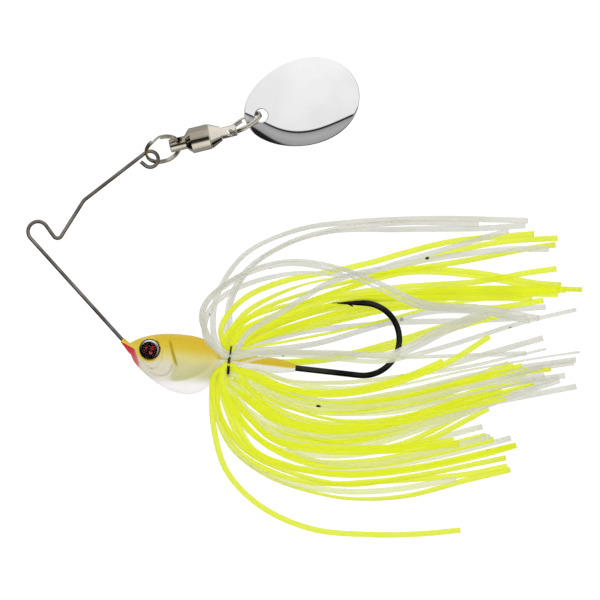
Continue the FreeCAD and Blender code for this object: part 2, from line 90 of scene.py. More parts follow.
def face_out(piece):
    """Turns every face to point outward."""
    bm = bmesh.new()
    bm.from_mesh(piece.data)
    bmesh.ops.recalc_face_normals(bm, faces=bm.faces)
    bm.to_mesh(piece.data)
    bm.free()


def grid_faces(rows, columns, close_rows=False, close_columns=True, start=0):
    """Quads between the rows of a grid of points."""
    faces = []
    for i in range(rows if close_rows else rows - 1):
        for j in range(columns if close_columns else columns - 1):
            a, b = i * columns, ((i + 1) % rows) * columns
            k = (j + 1) % columns
            faces.append((start + a + j, start + a + k, start + b + k, start + b + j))
    return faces


def catmull(points, per_span):
    """A smooth curve through the points, with centripetal spacing."""
    pts = [Vector(p) for p in points]
    pts = [pts[0] * 2 - pts[1]] + pts + [pts[-1] * 2 - pts[-2]]
    out = []
    for i in range(1, len(pts) - 2):
        p0, p1, p2, p3 = pts[i - 1:i + 3]
        t = [0.0]
        for a, b in ((p0, p1), (p1, p2), (p2, p3)):
            t.append(t[-1] + max((b - a).length, 1e-6) ** 0.5)
        count = max(2, int(math.ceil((p2 - p1).length * per_span)))
        for n in range(count):
            u = t[1] + (t[2] - t[1]) * n / count
            a1 = p0 * ((t[1] - u) / (t[1] - t[0])) + p1 * ((u - t[0]) / (t[1] - t[0]))
            a2 = p1 * ((t[2] - u) / (t[2] - t[1])) + p2 * ((u - t[1]) / (t[2] - t[1]))
            a3 = p2 * ((t[3] - u) / (t[3] - t[2])) + p3 * ((u - t[2]) / (t[3] - t[2]))
            b1 = a1 * ((t[2] - u) / (t[2] - t[0])) + a2 * ((u - t[0]) / (t[2] - t[0]))
            b2 = a2 * ((t[3] - u) / (t[3] - t[1])) + a3 * ((u - t[1]) / (t[3] - t[1]))
            out.append(b1 * ((t[2] - u) / (t[2] - t[1])) + b2 * ((u - t[1]) / (t[2] - t[1])))
    out.append(pts[-2])
    return out


# ---------------------------------------------------------------- material helpers
class Nodes:
    """A short way to write a node tree."""

    def __init__(self, name):
        self.material = bpy.data.materials.new(name)
        self.material.use_nodes = True
        self.tree = self.material.node_tree
        self.bsdf = self.tree.nodes["Principled BSDF"]
        self.place = self.add("ShaderNodeTexCoord").outputs["Object"]

    def add(self, kind, **values):
        node = self.tree.nodes.new(kind)
        for key, value in values.items():
            setattr(node, key, value)
        return node

    def put(self, socket, value):
        if isinstance(value, bpy.types.NodeSocket):
            self.tree.links.new(value, socket)
        else:
            socket.default_value = value

    def math(self, operation, a, b=None, c=None, clamp=False):
        node = self.add("ShaderNodeMath", operation=operation, use_clamp=clamp)
        for socket, value in zip(node.inputs, (a, b, c)):
            if value is not None:
                self.put(socket, value)
        return node.outputs[0]

    def axis(self, which, source=None):
        node = self.add("ShaderNodeSeparateXYZ")
        self.put(node.inputs[0], source or self.place)
        return self.math("MULTIPLY", node.outputs[which], 1000.0)

    def step(self, value, low, high, smooth=True):
        """0 below low, 1 above high."""
        node = self.add("ShaderNodeMapRange", interpolation_type="SMOOTHSTEP" if smooth else "LINEAR")
        for socket, v in zip(node.inputs, (value, low, high, 0.0, 1.0)):
            self.put(socket, v)
        return node.outputs[0]

    def mix(self, share, a, b):
        node = self.add("ShaderNodeMix", data_type="RGBA")
        self.put(node.inputs[0], share)
        self.put(node.inputs[6], a)
        self.put(node.inputs[7], b)
        return node.outputs[2]

    def noise(self, scale, detail=3.0, rough=0.5, vector=None, distortion=0.0):
        node = self.add("ShaderNodeTexNoise")
        self.put(node.inputs["Vector"], vector or self.place)
        self.put(node.inputs["Scale"], scale)
        self.put(node.inputs["Detail"], detail)
        self.put(node.inputs["Roughness"], rough)
        self.put(node.inputs["Distortion"], distortion)
        return node.outputs[0]

    def bump(self, height, strength, distance=0.00005):
        node = self.add("ShaderNodeBump")
        self.put(node.inputs["Height"], height)
        self.put(node.inputs["Strength"], strength)
        self.put(node.inputs["Distance"], distance)
        self.put(self.bsdf.inputs["Normal"], node.outputs[0])

    def set(self, **values):
        names = {
            "color": "Base Color", "metal": "Metallic", "rough": "Roughness", "coat": "Coat Weight",
            "coat_rough": "Coat Roughness", "alpha": "Alpha", "sss": "Subsurface Weight",
            "sss_scale": "Subsurface Scale", "ior": "IOR", "transmission": "Transmission Weight",
            "specular": "Specular IOR Level", "sheen": "Sheen Weight", "anisotropic": "Anisotropic",
        }
        for key, value in values.items():
            self.put(self.bsdf.inputs[names[key]], value)


def rgb(hex_code, alpha=1.0):
    """A linear colour from an sRGB hex code."""
    channels = [int(hex_code[i:i + 2], 16) / 255 for i in (0, 2, 4)]
    return tuple(c / 12.92 if c <= 0.04045 else ((c + 0.055) / 1.055) ** 2.4 for c in channels) + (alpha,)


# ---------------------------------------------------------------- metals
def metal(name, dark, light, rough, grain=900.0, wear=0.06, bump=0.12, anisotropic=0.0):
    """Plated or drawn metal: colour drift, fine grain in the gloss, and small scratches."""
    m = Nodes(name)
    drift = m.noise(160.0, 4.0)
    fine = m.noise(grain, 6.0, 0.65)
    m.set(color=m.mix(m.step(drift, 0.35, 0.65), dark, light), metal=1.0)
    m.set(rough=m.math("MULTIPLY_ADD", fine, wear, rough - wear / 2), anisotropic=anisotropic)
    m.bump(fine, bump, 0.00002)
    return m.material


def metals():
    return {
        "wire": metal("spring_wire", rgb("5e5a54"), rgb("8c8780"), 0.24, 2600.0, 0.14, 0.35),
        "ring": metal("ring_nickel", rgb("a8a294"), rgb("cdc8ba"), 0.10, 1800.0, 0.05, 0.05),
        "swivel": metal("swivel_nickel", rgb("d2ccbc"), rgb("e2ddd0"), 0.09, 1200.0, 0.05, 0.04),
        "ball": metal("ball_steel", rgb("bdbdc0"), rgb("dcdce0"), 0.05, 900.0, 0.02, 0.02),
        "blade": metal("blade_plate", rgb("eeedee"), rgb("f4f3f4"), 0.03, 500.0, 0.012, 0.006),
        "hook": metal("hook_black_nickel", rgb("171813"), rgb("35362d"), 0.12, 1500.0, 0.06, 0.06),
        "tie": metal("tie_metal", rgb("3c392c"), rgb("6b6650"), 0.30, 2500.0, 0.15, 0.3),
    }


# ---------------------------------------------------------------- silicone
def silicone(name, deep, pale, neighbour_light_tint, fleck_share, alpha, roll):
    """Flat silicone strand: faint streaks along it, soft gloss, and dark flecks inside."""
    m = Nodes(name)
    cloud = m.noise(90.0, 3.0)
    streak = m.noise(700.0, 4.0, 0.6)
    colour = m.mix(m.step(cloud, 0.3, 0.7), deep, pale)
    # painted light: a yellow tint on the lower strands, standing in for light passed and bounced through
    # their yellow neighbours, less toward the tips
    low = m.math("MULTIPLY", m.step(m.axis(2), -22.0, -31.0), m.step(m.axis(0), 100.0, 66.0))
    colour = m.mix(low, colour, neighbour_light_tint)
    colour = m.mix(m.math("MULTIPLY", m.step(streak, 0.45, 0.75), 0.15), colour, pale)
    cells = m.add("ShaderNodeTexVoronoi", feature="F1")
    shifted = m.add("ShaderNodeMapping")
    m.put(shifted.inputs[0], m.place)
    m.put(shifted.inputs[1], roll)
    m.put(cells.inputs["Vector"], shifted.outputs[0])
    m.put(cells.inputs["Scale"], 420.0)
    chosen = m.add("ShaderNodeSeparateColor")
    m.put(chosen.inputs[0], cells.outputs["Color"])
    fleck_size = m.math("MULTIPLY_ADD", chosen.outputs[1], 0.12, 0.12)
    near = m.math("LESS_THAN", cells.outputs["Distance"], fleck_size)
    picked = m.math("LESS_THAN", chosen.outputs[0], fleck_share)
    fleck = m.math("MULTIPLY", near, picked)
    m.set(color=m.mix(fleck, colour, rgb("14160f")))
    m.set(rough=m.math("MULTIPLY_ADD", streak, 0.2, 0.30), specular=0.25)
    m.set(alpha=m.math("MAXIMUM", fleck, alpha), sss=0.15, sss_scale=0.0012)
    m.bsdf.inputs["Subsurface Radius"].default_value = (1.0, 1.0, 0.9)
    m.bump(streak, 0.03, 0.00002)
    return m.material


# ---------------------------------------------------------------- skirt
# Side-view routes of the strands' halves, from the tie outward, as (x, z) in millimetres,
# each after its depth across the lure at its middle and at its tip.
PEARL_PAIRS = [
    # upper strands: front half, rear half
    ((-2.0, -3.0), [(35.6, -21.9), (35.1, -16.5), (36.6, -11.1), (41.8, -4.3), (52.4, 0.4), (62.8, 1.8),
                    (79.6, 2.5), (97.8, 2.1)],
     (-7.0, -9.0), [(41.8, -20.5), (49.4, -15.7), (57.5, -10.6), (61.4, -9.1), (68.4, -7.5), (79.6, -5.4),
                    (93.6, -3.7), (101.5, -3.7)]),
    ((1.5, 3.0), [(37.8, -21.9), (38.2, -14.5), (41.6, -7.9), (49.7, -2.5), (58.8, 0.3), (72.4, 1.8),
                  (88.3, 1.5)],
     (4.5, 7.0), [(44.4, -22.3), (53.6, -20.0), (62.8, -19.0), (72.4, -18.2), (85.2, -17.9), (98.4, -17.3)]),
    ((0.0, -1.0), [(38.4, -19.7), (38.8, -13.7), (44.8, -5.3), (57.4, -0.3), (72.4, 0.4), (88.4, 0.6),
                   (97.4, 1.2)],
     (2.6, 4.0), [(41.4, -23.7), (54.8, -22.6), (66.6, -19.3), (78.4, -16.1), (90.4, -15.9), (101.8, -15.1)]),
    ((-8.0, -9.5), [(34.8, -22.1), (33.0, -17.3), (34.2, -13.7), (40.4, -8.8), (47.0, -6.4), (52.4, -5.9),
                    (60.2, -7.4), (68.0, -10.4), (76.8, -14.3), (88.0, -15.2), (99.6, -17.3)],
     (-5.5, -8.0), [(44.8, -24.2), (58.4, -24.3), (70.8, -24.7), (75.4, -23.0), (81.0, -20.1),
                    (89.6, -16.7)]),
    ((-6.0, -4.5), [(34.2, -22.3), (33.4, -18.7), (35.6, -14.3), (41.8, -10.6), (52.4, -8.3), (62.8, -8.8),
                    (72.4, -6.1), (84.0, -2.8), (93.8, 0.1)],
     (-3.6, -5.0), [(47.4, -24.1), (60.4, -24.5), (72.4, -25.1), (82.4, -24.8), (97.3, -24.3)]),
    # side and lower strands
    ((-7.5, -9.0), [(37.0, -30.0), (40.4, -33.7), (45.5, -39.1), (53.4, -44.7), (64.4, -46.3), (75.4, -44.3),
                    (90.0, -40.6)],
     (-4.6, -6.5), [(47.4, -24.7), (58.4, -25.3), (68.4, -25.9), (75.4, -24.5), (82.4, -22.6), (96.4, -18.2),
                    (107.1, -15.6)]),
    ((3.0, 4.0), [(35.8, -30.5), (35.8, -34.9), (37.3, -39.1), (41.4, -43.7), (49.0, -47.0), (63.6, -47.7),
                  (78.4, -45.5), (94.8, -41.5)],
     (-5.0, -7.0), [(43.4, -27.9), (52.4, -30.5), (62.4, -31.3), (75.4, -28.3), (89.4, -24.4),
                    (100.5, -21.2)]),
    ((-4.0, -5.0), [(35.6, -30.0), (35.4, -34.5), (38.8, -42.9), (46.8, -48.9), (58.4, -51.5), (68.4, -51.6),
                    (83.4, -49.3)],
     (3.0, 6.0), [(42.4, -26.9), (49.0, -29.7), (60.4, -30.3), (72.4, -29.1), (85.2, -27.3), (93.6, -25.5),
                  (102.0, -23.6)]),
    ((6.0, 8.0), [(37.6, -29.0), (41.4, -33.0), (52.4, -38.4), (66.4, -39.6), (80.4, -35.9), (100.4, -31.3)],
     (5.5, 7.5), [(44.8, -29.5), (56.4, -32.9), (70.4, -31.3), (85.2, -28.1), (101.4, -25.3),
                  (108.9, -24.2)]),
    ((2.0, 4.5), [(37.0, -30.2), (41.4, -36.0), (51.0, -42.4), (63.0, -43.6), (79.0, -38.9), (92.4, -34.0),
                  (104.6, -29.9)],
     (1.0, 2.5), [(45.4, -30.3), (57.4, -33.9), (72.4, -32.1), (88.4, -28.5), (107.8, -25.7)]),
    ((-2.0, -3.5), [(37.2, -30.4), (43.0, -36.4), (54.4, -40.6), (68.4, -40.0), (84.4, -35.5), (96.4, -33.0),
                    (107.4, -30.9)],
     (-3.0, -4.0), [(44.8, -31.3), (56.4, -35.3), (72.4, -33.7), (88.4, -30.5), (101.0, -28.7)]),
    ((8.0, 10.0), [(36.6, -29.8), (38.6, -36.0), (46.0, -43.0), (58.4, -45.3), (73.4, -43.3), (89.4, -39.4)],
     (-6.5, -8.0), [(44.8, -32.1), (57.4, -36.3), (73.4, -34.9), (90.4, -31.3), (103.4, -28.9)]),
    ((1.0, 0.0), [(38.0, -29.6), (41.4, -31.8), (48.0, -34.6), (58.0, -36.2), (70.0, -36.2), (82.0, -33.8),
                  (95.0, -30.4), (105.4, -28.8)],
     (-4.4, -6.0), [(42.4, -30.0), (50.0, -33.4), (62.0, -34.9), (76.0, -33.4), (90.0, -29.8),
                    (100.6, -27.0)]),
]
CHARTREUSE_PAIRS = [
    # upper strands
    ((-4.0, -3.0), [(36.6, -20.0), (37.7, -17.1), (41.9, -13.0), (49.7, -9.8), (58.8, -8.0), (66.7, -6.2),
                    (72.6, -4.5), (82.4, -2.1), (99.0, -0.5)],
     (3.2, 5.0), [(41.4, -21.9), (52.4, -17.1), (64.4, -14.3), (79.6, -11.7), (98.4, -11.3), (109.2, -11.6)]),
    ((-2.5, -4.0), [(38.4, -20.8), (40.0, -17.9), (43.2, -15.0), (52.3, -10.9), (62.8, -8.8), (74.0, -7.6),
                    (85.2, -5.9), (96.4, -3.7), (103.2, -2.7)],
     (5.5, 8.0), [(41.4, -22.3), (54.4, -17.9), (68.4, -14.3), (80.4, -13.4), (92.4, -13.1), (103.4, -11.9)]),
    ((2.0, 1.0), [(38.8, -20.5), (44.4, -15.8), (54.9, -11.9), (68.4, -8.5), (79.6, -4.9), (92.4, -2.1),
                  (104.0, -1.3)],
     (2.4, 3.0), [(41.6, -22.5), (52.4, -18.7), (65.4, -15.5), (78.4, -14.3), (90.4, -15.3), (101.3, -13.8)]),
    ((5.0, 8.0), [(39.6, -20.7), (48.4, -16.3), (61.4, -11.3), (74.0, -7.7), (86.4, -8.0), (100.4, -10.3),
                  (105.2, -10.7)],
     (4.2, 6.0), [(42.4, -22.3), (57.5, -18.7), (72.4, -15.5), (79.6, -15.2), (94.4, -15.9)]),
    ((-5.0, -6.5), [(40.0, -21.6), (49.4, -16.9), (60.4, -12.9), (72.4, -11.1), (87.4, -10.1), (97.6, -8.3),
                    (103.2, -7.5)],
     (2.0, 3.4), [(44.4, -22.9), (58.4, -20.3), (68.4, -18.0), (81.0, -14.7), (88.4, -13.7), (97.4, -13.1)]),
    ((1.6, 0.0), [(40.2, -21.4), (51.4, -17.3), (62.4, -13.5), (76.4, -11.9), (90.4, -11.5), (105.6, -11.7)],
     (4.0, 5.5), [(42.4, -25.3), (50.2, -26.3), (62.2, -25.1), (71.2, -23.1), (82.4, -19.7), (94.4, -16.3)]),
    ((-3.2, -4.5), [(37.4, -21.4), (40.4, -18.2), (47.4, -15.4), (58.4, -13.3), (70.0, -12.4), (80.0, -12.2),
                    (92.0, -12.0), (104.0, -11.8)],
     (0.8, 2.0), [(40.8, -22.6), (46.4, -18.4), (56.4, -15.2), (68.0, -13.6), (80.0, -13.2), (90.0, -13.3),
                  (99.0, -13.4)]),
    # lower strands
    ((-1.0, -2.0), [(35.6, -27.9), (34.9, -31.0), (35.1, -38.7), (37.8, -47.9), (44.6, -54.9), (54.8, -59.4),
                    (66.6, -60.5), (75.4, -60.4), (84.4, -59.6)],
     (-5.0, -7.0), [(42.4, -28.1), (50.4, -31.3), (61.4, -31.9), (72.6, -29.2), (80.7, -25.8)]),
    ((-3.0, -4.0), [(35.2, -28.5), (35.2, -33.7), (38.4, -42.5), (46.0, -48.7), (57.8, -52.6), (65.1, -53.3),
                    (74.0, -52.6), (85.2, -49.6), (94.2, -47.4)],
     (-6.5, -9.0), [(43.4, -28.9), (54.4, -32.3), (65.4, -31.7), (75.4, -28.7), (82.4, -25.6),
                    (89.8, -20.9)]),
    ((2.0, 3.0), [(35.8, -29.5), (35.8, -35.3), (39.0, -43.1), (47.5, -48.5), (56.3, -50.5), (68.4, -50.1),
                  (85.2, -48.8), (94.0, -47.1)],
     (-4.0, -5.5), [(44.0, -30.1), (55.4, -34.3), (70.4, -33.3), (86.4, -29.7), (102.2, -27.4)]),
    ((-6.0, -7.5), [(36.2, -29.3), (36.4, -36.1), (38.7, -40.2), (42.5, -44.1), (49.0, -47.3), (60.7, -50.2),
                    (74.0, -48.7), (93.1, -44.9)],
     (0.5, 1.5), [(44.0, -31.3), (54.4, -35.7), (70.4, -35.3), (86.4, -32.3), (99.5, -29.5)]),
    ((4.5, 6.0), [(36.6, -30.0), (37.4, -34.7), (41.4, -42.7), (50.4, -47.3), (62.4, -48.7), (76.4, -47.3),
                  (96.0, -43.0)],
     (-2.0, -3.0), [(43.4, -31.3), (53.4, -35.9), (68.4, -35.9), (80.4, -32.9), (91.8, -28.4)]),
    ((-8.5, -10.0), [(36.8, -29.4), (38.4, -34.1), (43.1, -43.2), (50.4, -46.5), (60.7, -48.2), (74.0, -47.2),
                     (88.0, -44.3), (95.0, -42.3)],
     (-7.5, -10.0), [(44.0, -32.9), (54.4, -37.5), (70.4, -38.1), (82.4, -35.5), (92.8, -33.2)]),
    ((-5.0, -6.0), [(37.4, -30.6), (39.9, -36.4), (45.5, -42.3), (54.9, -46.3), (66.4, -46.5), (78.4, -44.3),
                    (90.8, -41.3)],
     (3.5, 5.0), [(42.4, -32.7), (52.4, -38.5), (64.4, -40.3), (78.4, -37.3), (92.6, -33.0)]),
    ((-9.5, -11.5), [(37.6, -29.8), (40.2, -34.3), (47.5, -41.4), (57.8, -43.5), (72.4, -43.2),
                     (83.6, -41.9)],
     (6.5, 9.0), [(42.4, -29.3), (51.4, -33.3), (62.4, -34.5), (74.4, -32.7), (84.4, -30.3), (96.4, -27.7)]),
    ((7.0, 9.5), [(37.4, -29.8), (41.4, -33.3), (49.4, -39.3), (58.4, -42.5), (70.4, -44.1), (77.6, -42.3),
                  (90.6, -35.7)],
     (1.5, 0.5), [(40.4, -31.7), (48.4, -37.1), (59.4, -40.1), (71.4, -39.7), (83.4, -35.9), (94.4, -32.3)]),
    ((5.0, 6.5), [(38.2, -29.6), (41.5, -31.5), (47.0, -36.5), (54.0, -39.2), (62.0, -40.2), (70.0, -39.2),
                  (80.0, -36.0), (93.0, -31.5)],
     (-2.6, -4.0), [(43.0, -30.6), (52.0, -35.2), (62.0, -36.4), (73.0, -34.4), (86.0, -30.4),
                    (97.6, -27.4)]),
    ((0.5, 1.5), [(38.0, -29.8), (40.6, -31.6), (46.5, -36.4), (55.0, -39.0), (66.0, -38.8), (78.0, -35.8),
                  (90.0, -30.8), (97.5, -28.4)],
     (4.6, 6.5), [(43.0, -31.0), (50.0, -34.8), (60.0, -36.2), (72.0, -34.6), (84.0, -31.2), (95.5, -27.0)]),
    ((9.0, 12.0), [(37.0, -29.4), (38.8, -32.7), (44.8, -38.7), (55.4, -41.9), (66.4, -41.7), (78.4, -38.7),
                   (91.8, -33.7)],
     (-1.0, -1.5), [(41.4, -30.7), (50.4, -35.3), (62.4, -38.1), (76.4, -36.9), (88.4, -33.3),
                    (99.0, -30.3)]),
]


def half_route(points, middle_y, tip_y, start):
    """A half's route in space: its depth grows from the tie to the middle, then drifts to the tip."""
    middle_y, tip_y = middle_y * SPREAD, tip_y * SPREAD
    length = [0.0]
    flat = [Vector((start.x, 0, start.z))] + [Vector((x, 0, z)) for x, z in points]
    for a, b in zip(flat, flat[1:]):
        length.append(length[-1] + (b - a).length)
    route = []
    for point, run in zip(flat[1:], length[1:]):
        share = run / length[-1]
        rise = math.sin(min(share / 0.35, 1.0) * math.pi / 2)
        drift = max(0.0, (share - 0.35) / 0.65)
        y = start.y * (1 - rise) + middle_y * rise + (tip_y - middle_y) * drift
        route.append(Vector((point.x, y, point.z)))
    return route


def companion(pair, rng):
    """A second folded strand that lies close beside a given one."""
    (front_mid, front_tip), front, (rear_mid, rear_tip), rear = pair
    lift = rng.uniform(0.45, 0.95) * rng.choice((-1, 1))
    slide = rng.uniform(-3.0, 0.5)
    away = rng.uniform(1.2, 2.4)
    away *= -1 if front_mid > 0 else 1

    def beside(points, lift):
        last = len(points) - 1
        return [(x + slide * i / last, z + lift * min(1.0, i / 3)) for i, (x, z) in enumerate(points)]

    return ((front_mid + away, front_tip + away), beside(front, lift), (rear_mid - away, rear_tip - away),
            beside(rear, -lift * 0.8))


def ribbon(route, twists, verts, faces):
    """A flat strand along a route, with rounded edges, cut square at both tips."""
    line = catmull(route, 1.1)
    count = len(line)
    sides = [
        (-0.5, -0.32), (-0.44, -0.5), (0.44, -0.5), (0.5, -0.32),
        (0.5, 0.32), (0.44, 0.5), (-0.44, 0.5), (-0.5, 0.32),
    ]
    across = None
    start = len(verts)
    for n, point in enumerate(line):
        ahead = line[min(n + 1, count - 1)] - line[max(n - 1, 0)]
        ahead.normalize()
        if across is None:
            across = ahead.cross(Vector((0, 0, 1)).cross(ahead)).normalized()
        across = (across - ahead * across.dot(ahead)).normalized()
        spin = Matrix.Rotation(twists(n / (count - 1)), 3, ahead)
        wide = spin @ across
        thick = ahead.cross(wide)
        for a, b in sides:
            verts.append(point + wide * (a * STRAND_W) + thick * (b * STRAND_T))
    faces += grid_faces(count, len(sides), start=start)
    faces.append(tuple(start + k for k in reversed(range(len(sides)))))
    faces.append(tuple(start + (count - 1) * len(sides) + k for k in range(len(sides))))


def skirt(name, pairs, doubled, seed, uppers, node):
    """All the strands of one colour on one side of the skirt, as one object."""
    rng = random.Random(seed)
    pairs = pairs + [companion(pairs[n], rng) for n in doubled]
    verts, faces = [], []
    for n, (front_y, front, rear_y, rear) in enumerate(pairs):
        side = 1 if uppers else -1
        lean = max(-1.0, min(1.0, (front_y[0] + rear_y[0]) / 14.0))
        radius = (1.95, 2.4, 2.85)[n % 3]
        angle = lean * 1.35
        up, out = math.cos(angle) * side * radius, math.sin(angle) * radius
        before = TIE_POINT - COLLAR_AXIS * TIE_HALF + COLLAR_UP * up + Vector((0, out, 0))
        after = TIE_POINT + COLLAR_AXIS * TIE_HALF + COLLAR_UP * up + Vector((0, out, 0))
        front_route = half_route(front, front_y[0], front_y[1], before)
        rear_route = half_route(rear, rear_y[0], rear_y[1], after)
        route = front_route[::-1] + [before, (before + after) / 2, after] + rear_route
        phase = rng.uniform(-0.35, 0.35)
        turn = rng.choice((-1, 1)) * rng.uniform(0.3, 1.5)
        lead = rng.uniform(-0.4, 0.4)
        bend_at = rng.uniform(0.22, 0.40)
        bend_span = rng.uniform(0.10, 0.18)

        def twists(share, phase=phase, turn=turn, lead=lead, bend_at=bend_at, bend_span=bend_span):
            edge_on = turn * math.exp(-((share - bend_at) / bend_span) ** 2)
            return phase + edge_on + lead * math.sin(share * 9.0 + phase * 5)

        ribbon(route, twists, verts, faces)
    piece = mesh_object(name, verts, faces)
    face_out(piece)
    piece.visible_glossy = False
    piece.visible_shadow = False
    piece.visible_diffuse = False
    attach(piece, "lure_frame")
    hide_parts(node)
    return piece


# ---------------------------------------------------------------- blade
def blade_height(x, y):
    return BLADE_DEPTH * (1 - (x / BLADE_HALF_LENGTH) ** 2 - (y / BLADE_HALF_WIDTH) ** 2)


def blade_normal(x, y):
    slope_x = -2 * BLADE_DEPTH * x / BLADE_HALF_LENGTH ** 2
    slope_y = -2 * BLADE_DEPTH * y / BLADE_HALF_WIDTH ** 2
    return Vector((-slope_x, -slope_y, 1)).normalized()


def blade_reach(hole_x, direction):
    """Distance from the hole's centre to the blade's edge in a direction in its plane."""
    low, high = 0.0, 30.0
    for _ in range(50):
        middle = (low + high) / 2
        x, y = hole_x + middle * math.cos(direction), middle * math.sin(direction)
        c = max(-1.0, min(1.0, x / BLADE_HALF_LENGTH))
        inside = abs(x) < BLADE_HALF_LENGTH
        edge = BLADE_HALF_WIDTH * math.sqrt(max(0.0, 1 - c * c)) * (1 + BLADE_FULLNESS * c)
        if inside and abs(y) < edge:
            low = middle
        else:
            high = middle
    return (low + high) / 2


def blade_loops(out, steps):
    """The blade's closed section as (part, share) pairs: top, rim, underside and bore."""
    shares = [(i / out) ** 1.15 for i in range(out + 1)]
    loops = [("top", share) for share in shares]
    loops += [("rim", k / steps) for k in range(1, steps)]
    loops += [("under", share) for share in reversed(shares)]
    loops += [("bore", k / steps) for k in range(1, steps)]
    return loops


def blade_point(kind, share, hole_x, toward, reach):
    """One point of the blade's skin, before the blade is turned into place."""
    cx, cy = toward
    roll = BLADE_T / 2
    inner, outer = BLADE_HOLE_R + 0.15, reach - roll
    if kind in ("top", "under"):
        r = inner + (outer - inner) * share
        x, y = hole_x + cx * r, cy * r
        at = Vector((x, y, blade_height(x, y)))
        return at if kind == "top" else at - blade_normal(x, y) * BLADE_T
    r = outer if kind == "rim" else inner
    x, y = hole_x + cx * r, cy * r
    normal = blade_normal(x, y)
    middle = Vector((x, y, blade_height(x, y))) - normal * roll
    side = Vector((cx, cy, 0))
    side = (side - normal * side.dot(normal)).normalized()
    if kind == "rim":
        a = math.pi / 2 - math.pi * share
        return middle + normal * (math.sin(a) * roll) + side * (math.cos(a) * roll)
    a = -math.pi / 2 + math.pi * share
    return middle + normal * (math.sin(a) * roll) - side * (math.cos(a) * 0.15)


def blade(material):
    """Cupped blade: a ring grid from the hole to the edge, with a rolled edge and real thickness."""
    hole_x = -BLADE_HALF_LENGTH + BLADE_HOLE_FROM_END
    around = 360
    angles = [2 * math.pi * j / around for j in range(around)]
    spokes = [((math.cos(a), math.sin(a)), blade_reach(hole_x, a)) for a in angles]
    loops = blade_loops(70, 8)
    verts = [
        blade_point(kind, share, hole_x, toward, reach)
        for kind, share in loops
        for toward, reach in spokes
    ]
    faces = grid_faces(len(loops), around, close_rows=True)
    hole_at = Vector((hole_x, 0, blade_height(hole_x, 0)))
    x_dir = Vector((math.cos(BLADE_ANGLE), 0, math.sin(BLADE_ANGLE)))
    z_dir = Vector((0, -1, 0))
    y_dir = z_dir.cross(x_dir)
    turn = Matrix((x_dir, y_dir, z_dir)).transposed()
    verts = [turn @ (v - hole_at) + BLADE_HOLE for v in verts]
    piece = mesh_object("blade_shell", verts, faces)
    face_out(piece)
    piece.data.materials.append(material)
    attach(piece, "blade")
    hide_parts("spinner_blade")
    return piece


# ---------------------------------------------------------------- head
HEAD_STATIONS = [
    (17.9, -22.50, -22.9, 0.25),
    (18.3, -22.32, -23.5, 0.62),
    (18.5, -22.24, -24.4, 0.90),
    (18.9, -22.02, -25.5, 1.28),
    (19.6, -21.68, -26.6, 1.78),
    (20.4, -21.32, -27.5, 2.28),
    (22.4, -20.78, -29.3, 3.10),
    (25.2, -20.45, -31.2, 3.85),
    (28.4, -20.55, -32.4, 4.22),
    (31.6, -21.00, -32.3, 4.02),
    (34.2, -21.95, -30.8, 3.12),
    (35.6, -23.00, -28.7, 2.3),
    (36.2, -23.70, -27.7, 1.7),
]
HEAD_WIDEST = 0.56
LOWER_ARM = math.radians(-47.9)
NOSE_TUBE = ((29.8, 0.48), (29.9, 0.58), (30.6, 0.62), (31.4, 0.68), (32.2, 0.80), (32.8, 0.80), (33.4, 0.5))
KEEPER = (
    (-3.2, 1.5), (2.5, 1.5), (2.62, 1.66), (2.95, 1.66), (3.1, 1.5), (5.9, 1.5), (6.02, 1.66),
    (6.35, 1.66), (6.5, 1.5), (9.4, 1.52), (9.7, 1.48), (13.15, 0.82), (13.3, 0.62),
)
HEAD_GRAIN = 0.11


def spline(stations, x):
    """Smooth values between stations."""
    n = len(stations)
    i = 0
    while i < n - 2 and x > stations[i + 1][0]:
        i += 1
    a, b = stations[i], stations[i + 1]
    span = b[0] - a[0]
    t = max(0.0, min(1.0, (x - a[0]) / span))
    values = []
    for k in range(1, len(a)):
        before = stations[i - 1] if i else a
        after = stations[i + 2] if i + 2 < n else b
        slope_a = (b[k] - before[k]) / (b[0] - before[0]) if b[0] > before[0] else 0
        slope_b = (after[k] - a[k]) / (after[0] - a[0])
        h = (2 * t**3 - 3 * t**2 + 1, t**3 - 2 * t**2 + t, -2 * t**3 + 3 * t**2, t**3 - t**2)
        values.append(h[0] * a[k] + h[1] * slope_a * span + h[2] * b[k] + h[3] * slope_b * span)
    return values


def closed_tube(rings, verts, faces):
    """Rings of equal count joined into a closed skin with flat ends."""
    count, start = len(rings[0]), len(verts)
    for ring in rings:
        verts += ring
    faces += grid_faces(len(rings), count, start=start)
    faces.append(tuple(start + k for k in reversed(range(count))))
    faces.append(tuple(start + (len(rings) - 1) * count + k for k in range(count)))


def head_body_rings():
    """Cross-sections of the fish-shaped head from nose to tail."""
    rings = []
    first, last = HEAD_STATIONS[0][0], HEAD_STATIONS[-1][0]
    for i in range(91):
        x = first + (last - first) * i / 90
        top, bottom, half = spline(HEAD_STATIONS, x)
        widest = bottom + (top - bottom) * HEAD_WIDEST
        ring = []
        for j in range(72):
            a = 2 * math.pi * j / 72
            up = math.sin(a)
            across = math.copysign(abs(math.cos(a)) ** 0.92, math.cos(a))
            tall = top - widest if up > 0 else widest - bottom
            ring.append(Vector((x, half * across, widest + up * tall)))
        rings.append(ring)
    return rings


def turned_rings(profile, origin, axis, up, count=48):
    """Rings of a shape turned about an axis."""
    side = axis.cross(up)
    rings = []
    for along, r in profile:
        middle = origin + axis * along
        angles = [2 * math.pi * j / count for j in range(count)]
        rings.append([middle + up * (math.cos(a) * r) + side * (math.sin(a) * r) for a in angles])
    return rings


def smooth_step(low, high, value):
    t = max(0.0, min(1.0, (value - low) / (high - low)))
    return t * t * (3 - 2 * t)


def ridge(distance, width):
    """1 on a line, falling smoothly to 0 at its width."""
    return math.exp(-(distance / width) ** 2)


